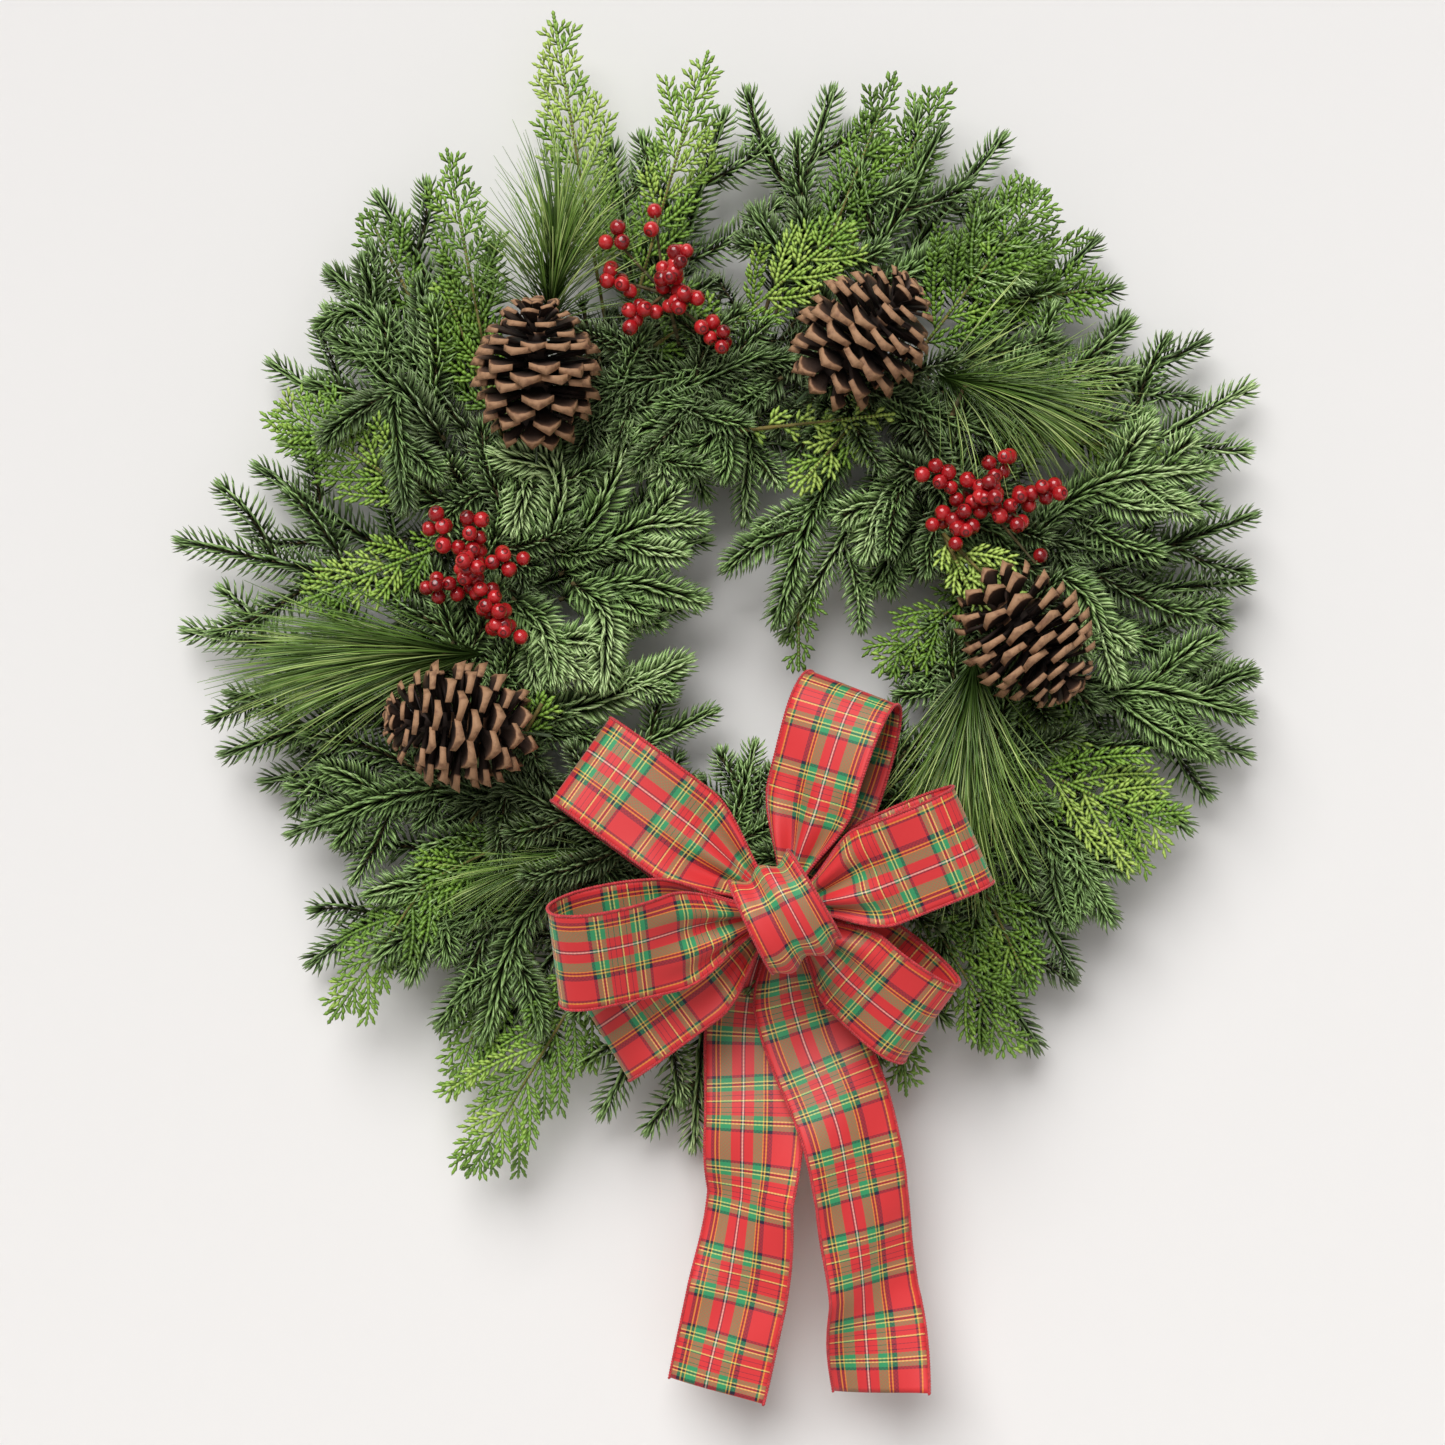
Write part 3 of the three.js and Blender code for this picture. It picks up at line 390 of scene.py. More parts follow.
def needle_shape(cuts, bend, thick, tip):
    """A three-sided needle, bowed to +Y. It narrows to a blunt tip, or for a tip of 0 ends in a point."""
    bm = bmesh.new()
    bmesh.ops.create_cone(bm, cap_ends=True, segments=3, radius1=0.5, radius2=0.5, depth=1.0)
    bmesh.ops.translate(bm, verts=bm.verts, vec=(0, 0, 0.5))
    cut_across(bm, cuts)
    if tip == 0:
        top = [v for v in bm.verts if v.co.z > FAR_END]
        bmesh.ops.pointmerge(bm, verts=top, merge_co=(0, 0, 1))
    for v in bm.verts:
        taper = 1 - (1 - tip) * v.co.z ** 3 if tip else 1.0
        v.co.x *= taper
        v.co.y = v.co.y * taper * thick + bend * v.co.z**2
    return small_shape(bm)


def twig_shape():
    """One length of twig, a little longer than its step, so that lengths run into each other."""
    bm = bmesh.new()
    bmesh.ops.create_cone(bm, cap_ends=True, segments=5, radius1=1.0, radius2=0.96, depth=1.06)
    bmesh.ops.translate(bm, verts=bm.verts, vec=(0, 0, 0.5))
    return small_shape(bm)


def leaf_scale_shape():
    """A four-sided scale leaf with a point at each end, widest past its middle."""
    widest = 0.72
    bm = bmesh.new()
    bmesh.ops.create_cone(bm, cap_ends=False, segments=4, radius1=0.0, radius2=0.5, depth=widest)
    bmesh.ops.translate(bm, verts=bm.verts, vec=(0, 0, widest / 2))
    rim = [v for v in bm.verts if v.co.z > widest / 2]
    tip = bm.verts.new((0, 0, 1.0))
    for edge in [e for e in bm.edges if e.verts[0] in rim and e.verts[1] in rim]:
        bm.faces.new((edge.verts[0], edge.verts[1], tip))
    bmesh.ops.remove_doubles(bm, verts=bm.verts, dist=1e-5)
    bmesh.ops.recalc_face_normals(bm, faces=bm.faces)
    return small_shape(bm)


def berry_shape():
    """A round berry with a small dimple at its far end."""
    dimple = 0.84
    bm = bmesh.new()
    bmesh.ops.create_uvsphere(bm, u_segments=12, v_segments=8, radius=1.0)
    for v in bm.verts:
        if v.co.z > FAR_END:
            v.co.z = dimple
    return small_shape(bm)


def cone_scale_shape():
    """A woody scale: narrow at its root, flat on top, with a wide, thick and blunt lip that has a prickle."""
    bm = bmesh.new()
    bmesh.ops.create_cube(bm, size=1.0)
    bmesh.ops.translate(bm, verts=bm.verts, vec=(0, 0, 0.5))
    cut_across(bm, (0.5, 0.84, 0.95))
    cut_across(bm, (-0.25, 0, 0.25), (1, 0, 0))
    shares = np.array([v.co.z for v in bm.verts])
    for v in bm.verts:
        share = v.co.z
        side = v.co.x * 2
        under = v.co.y < 0
        # The lip swells over the last quarter, thickest along the keel under the scale.
        lip = smooth((share - 0.74) / 0.24)
        keel = 1 - 0.85 * abs(side) ** 1.7
        v.co.x = side * (0.13 + 0.37 * share**1.2)
        v.co.y = -(0.03 + 0.085 * lip * keel) if under else 0.02 + 0.05 * side * side * share
        v.co.z = share * (1 - 0.2 * side * side * lip)
        if share > FAR_END and under and side == 0:
            v.co.z += 0.06
            v.co.y -= 0.03
    spots, faces, _ = small_shape(bm)
    return spots, faces, shares


def stitch_shape():
    """One plump stitch of a sewn edge, round its own middle."""
    bm = bmesh.new()
    bmesh.ops.create_uvsphere(bm, u_segments=5, v_segments=3, radius=0.5)
    return small_shape(bm)


TWIG = twig_shape()
FIR_NEEDLE = needle_shape((0.7,), 0.24, 0.1, 0)
STRAIGHT_NEEDLE = needle_shape((), 0.0, 0.13, 0)
PINE_NEEDLE = needle_shape((0.35, 0.7), 0.14, 0.01, 0.3)
LEAF_SCALE = leaf_scale_shape()
BERRY = berry_shape()
CONE_SCALE = cone_scale_shape()
STITCH = stitch_shape()

# Places in a piece's list of finishes.
SKIN, BARK = 0, 1


class Growth:
    """Gathers many small shapes, and makes them one mesh with a few finishes."""

    def __init__(self):
        self.parts = []

    def add(self, shape, places, finish=SKIN, tone=0.0):
        """Sets a small shape in each of the places, with its shade."""
        spots, faces, height = shape
        count = len(places)
        put = np.einsum("nij,vj->nvi", places[:, :, :3], spots) + places[:, None, :, 3]
        joined = faces[None] + len(spots) * np.arange(count)[:, None, None]
        shade = np.repeat(np.broadcast_to(tone, count), len(spots))
        self.parts.append((put.reshape(-1, 3), joined.reshape(-1, 3), np.tile(height, count), shade, finish))

    def piece(self, name, finishes, nodes, slot, smooth_shade=True):
        """Makes the gathered shapes one object, with their heights and shades for its finishes to read."""
        spots, faces, heights, shades, finish_of = zip(*self.parts)
        starts = np.cumsum([0] + [len(part) for part in spots[:-1]])
        which = np.concatenate([np.full(len(part), k, np.int32) for part, k in zip(faces, finish_of)])
        faces = np.concatenate([part + start for part, start in zip(faces, starts)])
        spots = np.concatenate(spots)
        # What would reach past the wall lies pressed against it.
        spots[:, 1] = np.minimum(spots[:, 1], WALL_CONTACT)
        mesh = bpy.data.meshes.new(name)
        mesh.vertices.add(len(spots))
        mesh.vertices.foreach_set("co", spots.ravel())
        mesh.loops.add(len(faces) * 3)
        mesh.loops.foreach_set("vertex_index", faces.ravel().astype(np.int32))
        mesh.polygons.add(len(faces))
        mesh.polygons.foreach_set("loop_start", np.arange(len(faces), dtype=np.int32) * 3)
        mesh.polygons.foreach_set("material_index", which)
        mesh.update(calc_edges=True)
        for label, parts in (("along", heights), ("tone", shades)):
            values = np.concatenate(parts).astype(np.float32)
            mesh.attributes.new(label, "FLOAT", "POINT").data.foreach_set("value", values)
        if smooth_shade:
            mesh.shade_smooth()
        return settle(new_object(name, mesh, finishes), nodes)


def mesh_of(bm, name):
    """A mesh from a finished bmesh."""
    mesh = bpy.data.meshes.new(name)
    bm.to_mesh(mesh)
    bm.free()
    return mesh


def new_object(name, data, finishes=()):
    """An object in the scene, with its finishes."""
    for finish in finishes:
        data.materials.append(finish)
    obj = bpy.data.objects.new(name, data)
    bpy.context.scene.collection.objects.link(obj)
    return obj


def settle(obj, nodes):
    """Puts a finished piece on the root body, in place of its frame nodes."""
    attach(obj, "root")
    if nodes:
        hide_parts(*nodes)
    return obj


def places_from(wide, bow, long, spots):
    """Places for small shapes, from the scaled X, Y and Z directions of each and its foot."""
    return np.stack((wide, bow, long, spots), axis=-1)


def add_tube(growth, course, radius_from, radius_to, step, finish=BARK, tone=0.0):
    """A round stem or wire along a course, in lengths of about one step, in metres."""
    count = max(1, int(round(course.length / step)))
    ends = course.at(np.linspace(0, course.length, count + 1))
    long = np.diff(ends, axis=0)
    heading = unit(long)
    across = unit(np.cross(heading, ASKEW))
    radius = np.linspace(radius_from, radius_to, count)[:, None] * MM
    places = places_from(across * radius, np.cross(heading, across) * radius, long, ends[:-1])
    growth.add(TWIG, places, finish, tone)


def growth_from_ring(slot):
    """A growth that starts with the foot of its stem, bound along the ring."""
    growth = Growth()
    add_tube(growth, foot_course(slot), FOOT_RADIUS, FOOT_RADIUS, 0.01)
    return growth


def frames_on(course, s):
    """Heading, front and side directions along a course."""
    heading = course.along(s)
    front = square_to(heading, FRONT)
    return heading, front, np.cross(heading, front)


def frame_at(course, s):
    """Heading, front and side directions at one place on a course."""
    return (directions[0] for directions in frames_on(course, np.array([s])))


def srgb(code):
    """The linear colour of an sRGB hex code."""
    parts = [int(code[i : i + 2], 16) / 255 for i in (1, 3, 5)]
    return tuple(c / 12.92 if c <= 0.04045 else ((c + 0.055) / 1.055) ** 2.4 for c in parts) + (1.0,)


def new_finish(name):
    """A new material, with its node tree and its shader."""
    finish = bpy.data.materials.new(name)
    finish.use_nodes = True
    tree = finish.node_tree
    return finish, tree, tree.nodes["Principled BSDF"]


def feed(made, sources):
    """Gives a node's inputs, by number or name, plain values or links from other nodes."""
    for key, source in sources.items():
        if isinstance(source, bpy.types.NodeSocket):
            made.id_data.links.new(source, made.inputs[key])
        else:
            made.inputs[key].default_value = source


def node(tree, kind, sources, out=0, stops=(), **settings):
    """Adds one node with its settings, inputs and colour stops, and gives one of its outputs."""
    made = tree.nodes.new(f"ShaderNode{kind}")
    for name, value in settings.items():
        setattr(made, name, value)
    feed(made, sources)
    for number, (place, code) in enumerate(stops):
        elements = made.color_ramp.elements
        if number == len(elements):
            elements.new(1.0)
        elements[number].position = place
        elements[number].color = srgb(code)
    return made.outputs[out]


# A mix of colours takes its share at input 0 and the colours at inputs 6 and 7, and gives output 2.
# A noise whose scale is METRE / n has blotches about n millimetres wide.
METRE = 1000.0


def needle_finish(name, root_shade, shades, tips, roughness):
    """Living needles or scale leaves: each has its own shade, painted shade at its root and a lighter tip."""
    finish, tree, shader = new_finish(name)
    place = node(tree, "TexCoord", {}, "Object")
    tone = node(tree, "Attribute", {}, "Fac", attribute_name="tone")
    along = node(tree, "Attribute", {}, "Fac", attribute_name="along")
    # Sprays 60 mm apart have grown in different light, and so differ in shade.
    spray = node(tree, "TexNoise", {"Vector": place, "Scale": METRE / 60, "Detail": 2.0})
    spray = node(tree, "Math", {0: spray, 1: 0.5}, operation="SUBTRACT")
    shade = node(tree, "Math", {0: tone, 1: spray}, operation="ADD")
    body = node(tree, "ValToRGB", {0: shade}, stops=shades)
    # Painted shade: near its root each needle or scale leaf takes the dark root colour, as if shaded by those
    # round it.
    past_root = node(tree, "ValToRGB", {0: along}, stops=[(0.15, "#000000"), (0.68, "#ffffff")])
    root_shaded = node(tree, "Mix", {0: past_root, 6: srgb(root_shade), 7: body}, 2, data_type="RGBA")
    near_tip = node(tree, "Math", {0: along, 1: 0.4}, operation="MULTIPLY")
    colour = node(tree, "Mix", {0: near_tip, 6: root_shaded, 7: srgb(tips)}, 2, data_type="RGBA")
    feed(shader, {"Base Color": colour, "Roughness": roughness, "Specular IOR Level": 0.55})
    return finish


def bark_finish(name, codes):
    """Young bark: matt, blotched in patches of a few millimetres."""
    finish, tree, shader = new_finish(name)
    place = node(tree, "TexCoord", {}, "Object")
    blotches = node(tree, "TexNoise", {"Vector": place, "Scale": METRE / 6, "Detail": 2.0})
    colour = node(tree, "ValToRGB", {0: blotches}, stops=codes)
    feed(shader, {"Base Color": colour, "Roughness": 0.8})
    return finish


# Fir needles have a waxy skin, paler towards the tip, with a soft shine. Their dark green at the root is
# painted shade.
fir_needles = needle_finish(
    "waxy_fir_needles",
    # Painted shade at the needles' roots.
    "#132009",
    [(0.0, "#0c1a07"), (0.32, "#335a20"), (0.65, "#7ea852"), (1.0, "#d2eaa8")],
    "#c4e09a",
    0.34,
)
# Cedar leaves are flat scales with a satin skin, yellower and brighter than the fir.
cedar_leaves = needle_finish(
    "satin_cedar_leaves",
    # Painted shade at the leaves' roots.
    "#1d330a",
    [(0.0, "#17300a"), (0.32, "#3e6c1a"), (0.65, "#7cab36"), (1.0, "#c4de6c")],
    "#a0c254",
    0.45,
)
# Long pine needles are smooth and glossy, of a fresh grass green that varies from needle to needle.
pine_needles = needle_finish(
    "glossy_pine_needles",
    # Painted shade at the needles' roots.
    "#263c12",
    [(0.0, "#102405"), (0.35, "#3f681b"), (0.65, "#86ad48"), (1.0, "#dcee96")],
    "#8fb052",
    0.35,
)
twig_bark = bark_finish("young_bark", [(0.3, "#3a3a22"), (0.7, "#6b5a35")])
cedar_bark = bark_finish("cedar_stem_bark", [(0.3, "#4b4a24"), (0.7, "#8a7a3e")])


def cone_finish():
    """Dry cone wood: dark red-brown inside, with weathered tan lips and a fine, woody grain."""
    finish, tree, shader = new_finish("dry_cone_wood")
    place = node(tree, "TexCoord", {}, "Object")
    along = node(tree, "Attribute", {}, "Fac", attribute_name="along")
    # Blotches 5 mm wide make the edge of the tan lip uneven.
    uneven = node(tree, "TexNoise", {"Vector": place, "Scale": METRE / 5, "Detail": 4.0})
    uneven = node(tree, "Math", {0: uneven, 1: 0.5}, operation="SUBTRACT")
    uneven = node(tree, "Math", {0: uneven, 1: 0.16}, operation="MULTIPLY")
    share = node(tree, "Math", {0: along, 1: uneven}, operation="ADD")
    inside = [(0.2, "#20140e"), (0.75, "#3c2a20"), (0.9, "#553c2d")]
    lip = [(0.965, "#805a41"), (1.0, "#ab8260")]
    colour = node(tree, "ValToRGB", {0: share}, stops=inside + lip)
    # The grain is 1.6 mm coarse, and 0.8 mm deep at most.
    grain = node(tree, "TexNoise", {"Vector": place, "Scale": METRE / 1.6, "Detail": 5.0})
    bump = node(tree, "Bump", {"Height": grain, "Strength": 0.45, "Distance": 0.0008})
    feed(shader, {"Base Color": colour, "Roughness": 0.72, "Normal": bump})
    return finish


def berry_finish():
    """Lacquered berries: deep glossy red under a clear coat, dark in the dimple."""
    finish, tree, shader = new_finish("glossy_red_lacquer")
    place = node(tree, "TexCoord", {}, "Object")
    tone = node(tree, "Attribute", {}, "Fac", attribute_name="tone")
    along = node(tree, "Attribute", {}, "Fac", attribute_name="along")
    # Each berry has its own red, and it changes a little over the berry's own 9 mm.
    clouds = node(tree, "TexNoise", {"Vector": place, "Scale": METRE / 9, "Detail": 2.0})
    shade = node(tree, "Math", {0: tone, 1: clouds}, operation="ADD")
    reds = [(0.2, "#780b11"), (0.6, "#b5191f"), (0.95, "#d83436")]
    skin = node(tree, "ValToRGB", {0: shade}, stops=reds)
    far_end = [(0.0, "#000000"), (0.86, "#000000"), (0.93, "#ffffff")]
    dimple = node(tree, "ValToRGB", {0: along}, stops=far_end)
    colour = node(tree, "Mix", {0: dimple, 6: skin, 7: srgb("#2c0508")}, 2, data_type="RGBA")
    feed(shader, {"Base Color": colour, "Roughness": 0.22, "Coat Weight": 0.5, "Coat Roughness": 0.1})
    return finish


def enamelled_wire(name, code):
    """Green enamelled steel wire: smooth paint with paler worn patches and small differences in gloss."""
    finish, tree, shader = new_finish(name)
    place = node(tree, "TexCoord", {}, "Object")
    wear = node(tree, "TexNoise", {"Vector": place, "Scale": METRE / 4, "Detail": 2.0})
    colour = node(tree, "ValToRGB", {0: wear}, stops=[(0.35, code), (0.75, "#56684a")])
    rubbed = node(tree, "TexNoise", {"Vector": place, "Scale": METRE / 2, "Detail": 2.0})
    gloss = node(tree, "ValToRGB", {0: rubbed}, stops=[(0.3, "#505050"), (0.7, "#808080")])
    feed(shader, {"Base Color": colour, "Roughness": gloss, "Coat Weight": 0.3})
    return finish


# Tartan: the colours of the threads along the ribbon, by share of its width, and of those across it, by
# share of the repeat. Red over green looks olive, and green over green stays bright.
RED, NAVY, GREEN, GOLD, LEMON, WHITE = "#de3336", "#231d36", "#339a64", "#f0ae3a", "#f8ee84", "#f6d3c0"
ACROSS = [
    (0.0, RED), (0.07, NAVY), (0.105, GOLD), (0.12, NAVY), (0.145, GOLD), (0.16, GREEN), (0.27, RED),
    (0.365, NAVY), (0.38, WHITE), (0.395, NAVY), (0.41, RED), (0.5, GREEN), (0.59, GOLD), (0.605, NAVY),
    (0.625, GOLD), (0.64, NAVY), (0.69, RED), (0.9, NAVY), (0.925, GOLD), (0.94, RED),
]
ALONG = [
    (0.0, GREEN), (0.05, LEMON), (0.066, NAVY), (0.09, LEMON), (0.106, GREEN), (0.155, RED), (0.2, NAVY),
    (0.21, RED), (0.26, LEMON), (0.275, NAVY), (0.287, RED), (0.34, NAVY), (0.35, RED), (0.4, NAVY),
    (0.41, RED), (0.44, GREEN), (0.49, LEMON), (0.506, NAVY), (0.53, LEMON), (0.546, GREEN), (0.595, NAVY),
    (0.63, RED), (0.965, NAVY),
]


def tartan_finish():
    """Woven polyester ribbon: the bands of both ways mix where threads cross, with a soft sheen."""
    finish, tree, shader = new_finish("woven_tartan")
    uv = node(tree, "UVMap", {}, uv_map="ribbon")
    width_share = node(tree, "SeparateXYZ", {0: uv}, "X")
    repeats = width_share.node.outputs["Y"]
    repeat_share = node(tree, "Math", {0: repeats}, operation="FRACT")
    warp = node(tree, "ValToRGB", {0: width_share}, stops=ACROSS)
    weft = node(tree, "ValToRGB", {0: repeat_share}, stops=ALONG)
    # A stripe ends sharply at its last thread.
    for stripes in (warp, weft):
        stripes.node.color_ramp.interpolation = "CONSTANT"
    # The threads are 0.3 mm apart, too fine to show, so the weave is drawn four times as coarse.
    thread = 4 * 0.3
    crossings = (RIBBON_WIDTH / thread, TARTAN_REPEAT / thread, 1)
    woven = node(tree, "Mapping", {"Vector": uv, "Scale": crossings})
    over = node(tree, "TexChecker", {"Vector": woven, "Scale": 1.0}, "Fac")
    share = node(tree, "Math", {0: over, 1: 0.2}, operation="MULTIPLY")
    share = node(tree, "Math", {0: share, 1: 0.38}, operation="ADD")
    colour = node(tree, "Mix", {0: share, 6: warp, 7: weft}, 2, data_type="RGBA")
    bump = node(tree, "Bump", {"Height": over, "Strength": 0.2, "Distance": 0.0003})
    feed(shader, {"Base Color": colour, "Roughness": 0.55, "Normal": bump})
    feed(shader, {"Sheen Weight": 0.25, "Sheen Roughness": 0.4})
    return finish


def thread_finish():
    """Red polyester thread: slightly uneven in colour from stitch to stitch, with a soft sheen."""
    finish, tree, shader = new_finish("red_edge_thread")
    place = node(tree, "TexCoord", {}, "Object")
    stitches = node(tree, "TexNoise", {"Vector": place, "Scale": METRE / 3, "Detail": 2.0})
    colour = node(tree, "ValToRGB", {0: stitches}, stops=[(0.3, "#a81822"), (0.7, "#d8323a")])
    feed(shader, {"Base Color": colour, "Roughness": 0.5, "Sheen Weight": 0.3})
    return finish


cone_wood = cone_finish()
berry_skin = berry_finish()
ring_paint = enamelled_wire("enamelled_ring_wire", "#2a4430")
tie_paint = enamelled_wire("enamelled_tie_wire", "#3c4f30")
tartan = tartan_finish()
edge_thread = thread_finish()

# Round a fir twig its needles stand in ranks, at these turns from the front.
FIR_RANKS = np.radians((-100.0, 18.0, -64.0, 64.0, -26.0, 100.0))
TIP_NEEDLES = 9
FIR_NEEDLE_WIDTH = 2.1
# The longest side twig of a spray, in metres.
SIDE_TWIG_LENGTH = 0.07
# Sprays of a bunch, inside the ring and outside it: side twigs, needle length and step along the twig.
INNER_SPRAY = (2, 14, 0.52)
OUTER_SPRAY = (3, 17, 0.74)
# Sprays laid over the others: needle length with and without side twigs, and the needles' step.
FRONT_NEEDLES = (16.5, 18.5)
FRONT_STEP = 0.42
# Layers of fir that close the body of the wreath: name, sprays, the radius and depth of their tips, how far
# they lean along the ring in radians, shade, and the needles' step and shape.
FIR_LAYERS = [
    # The back and core layers have low shades: painted shade, as they lie deep in the wreath.
    ("back", 32, (190, 222), (12, 34), 0.6, (-0.1, 0.1), 0.9, STRAIGHT_NEEDLE),
    ("core", 42, (150, 215), (8, 26), 0.75, (-0.1, 0.05), 0.9, STRAIGHT_NEEDLE),
    ("inner", 20, (100, 124), (14, 40), 0.5, (0.2, 0.5), 0.66, FIR_NEEDLE),
    ("over_ring", 24, (150, 212), (40, 58), 1.1, (0.05, 0.5), 0.66, FIR_NEEDLE),
]
LAYER_NEEDLE_LENGTH = 15
LAYER_SIDE_TWIGS = 4


def needle_twig(growth, course, start, rng, length, step, tone, shape):
    """A fir twig: its bark, needles in ranks round its front and sides, and a tuft of them at its tip."""
    add_tube(growth, course, 1.5, 0.8, 0.02)
    ranked = max(12, int((course.length - start) / (step * MM)))
    count = ranked + TIP_NEEDLES
    s = np.concatenate((np.linspace(start, course.length, ranked), np.full(TIP_NEEDLES, course.length)))
    share = (s - start) / max(course.length - start, 1e-6)
    heading, front, side = frames_on(course, s)
    turn = FIR_RANKS[np.arange(ranked) % len(FIR_RANKS)] + rng.normal(0, 0.09, ranked)
    turn = np.concatenate((turn, np.arange(TIP_NEEDLES) * GOLDEN))
    outward = turned(front, side, turn)
    # Needles stand well out from the twig, less so on its front and near its tip. The tuft closes up.
    splay = 1.27 - 0.36 * np.cos(turn) ** 2 - 0.4 * share**6 + rng.normal(0, 0.07, count)
    splay[ranked:] = np.linspace(0.08, 0.8, TIP_NEEDLES)
    way = unit(turned(heading, outward, splay))
    bow = square_to(way, heading + front * 0.5)
    wide = np.cross(bow, way)
    # They are longest past the middle of the twig.
    full = 0.74 + 0.26 * np.sin(math.pi * np.clip(share * 0.85 + 0.12, 0, 1))
    size = (length * MM * full * rng.uniform(0.88, 1.08, count))[:, None]
    # Painted shade darkens needles near the root of a twig, deep in the spray, and those under it.
    painted_shade = 0.26 * (1 - smooth(share * 1.7)) + 0.3 * (np.cos(turn) < 0.1)
    # Needles turned to the front also get painted light, added to their own random shade.
    shade = tone + 0.02 + 0.12 * np.cos(turn) - painted_shade + rng.uniform(-0.18, 0.18, count)
    spots = course.at(s) + outward * 0.8 * MM
    growth.add(shape, places_from(wide * FIR_NEEDLE_WIDTH * MM, bow * size, way * size, spots), SKIN, shade)


def fir_spray(growth, course, start, twigs, rng, tone, length, step, shape=FIR_NEEDLE):
    """A fir spray: a main twig with side twigs in one plane, alternately left and right."""
    needle_twig(growth, course, start * course.length, rng, length, step, tone, shape)
    for i in range(twigs):
        s = course.length * (0.34 + 0.52 * (i + rng.uniform(0, 0.5)) / twigs)
        heading, front, side = frame_at(course, s)
        hand = side * (1 if i % 2 == 0 else -1)
        # Side twigs get shorter towards the tip.
        longest = min(SIDE_TWIG_LENGTH, course.length * (0.48 - 0.3 * (i / twigs)))
        reach = longest * rng.uniform(0.75, 1.15)
        root = course.at(s)
        out = unit(heading * 0.62 + hand * 0.78 + front * 0.12)
        end = unit(heading * 0.85 + hand * 0.45 + front * 0.16)
        elbow = root + out * reach * 0.62
        branch = bezier(root, root + out * reach * 0.35, elbow, elbow + end * reach * 0.38, 8)
        shade = tone + rng.uniform(-0.08, 0.08)
        needle_twig(growth, branch, 0.006, rng, length * 0.92, step, shade, shape)


def fir_bunches():
    """The bunches of the frame, each with its sprays."""
    for index, (slot, sprays) in enumerate(FIR_BUNCHES):
        rng = np.random.default_rng(100 + index)
        growth = growth_from_ring(slot)
        for x, z, depth in sprays:
            inner = math.hypot(x, z) < RING_RADIUS
            twigs, length, step = INNER_SPRAY if inner else OUTER_SPRAY
            tone = 0.66 if inner else 0.42 + rng.uniform(-0.16, 0.16)
            fir_spray(growth, stem_course(slot, x, z, depth), 0.25, twigs, rng, tone, length, step)
        name = f"fir_{index + 1}_needled"
        growth.piece(name, [fir_needles, twig_bark], [f"fir_bunch_{index + 1}"], "fir", False)


def fir_layers():
    """Fir that closes the body of the wreath: painted dark behind, as shade deep in it, a fringe in the hole,
    and sprays on top.
    """
    for number, (name, count, radii, depths, lean_most, tones, step, shape) in enumerate(FIR_LAYERS):
        rng = np.random.default_rng(300 + number)
        growth = Growth()
        for k in range(count):
            root_angle = 2 * math.pi * (k + rng.uniform(-0.2, 0.2)) / count
            slot = int(root_angle / (2 * math.pi) * SLOTS) % SLOTS
            lean = rng.uniform(0.3, 1) * lean_most * (1 if k % 2 else -1)
            angle = root_angle + lean
            radius = rng.uniform(*radii)
            # On the left the fringe reaches less far into the hole.
            if name == "inner" and math.cos(angle) < -0.3:
                radius = radius + 32
            # Behind the bow all lies low.
            behind_bow = math.cos(angle + math.radians(80)) > 0.72
            depth = depths[0] if behind_bow else rng.uniform(*depths)
            course = stem_course(slot, radius * math.cos(angle), radius * math.sin(angle), depth)
            tone = rng.uniform(*tones)
            fir_spray(growth, course, 0.1, LAYER_SIDE_TWIGS, rng, tone, LAYER_NEEDLE_LENGTH, step, shape)
        growth.piece(f"fir_{name}_layer", [fir_needles, twig_bark], [], "fir", False)


def fir_front():
    """Sprays laid over the others, where the tips of the fir show best."""
    rng = np.random.default_rng(340)
    growth = Growth()
    for root, bend, tip, depth, tone, twigs in FIR_FRONT:
        course = laid_course([root, bend, tip], depth)
        length = FRONT_NEEDLES[0] if twigs else FRONT_NEEDLES[1]
        fir_spray(growth, course, 0.02, twigs, rng, tone, length, FRONT_STEP)
    growth.piece("fir_front_sprays", [fir_needles, twig_bark], [], "fir", False)


# Cedar, in metres: the step from one pair of branchlets to the next, that of the smaller ones on each, and
# the longest of the smaller ones.
BRANCHLET_STEP = 0.0082
SUB_BRANCHLET_STEP = 0.0025
SUB_BRANCHLET_LENGTH = 0.0105
# Scale leaves, in millimetres: width and step on the branchlets, on the smaller ones and on the rib.
BRANCHLET_LEAVES = (3.2, 3.2)
SUB_BRANCHLET_LEAVES = (2.7, 3.4)
RIB_LEAVES = (2.8, 2.6)


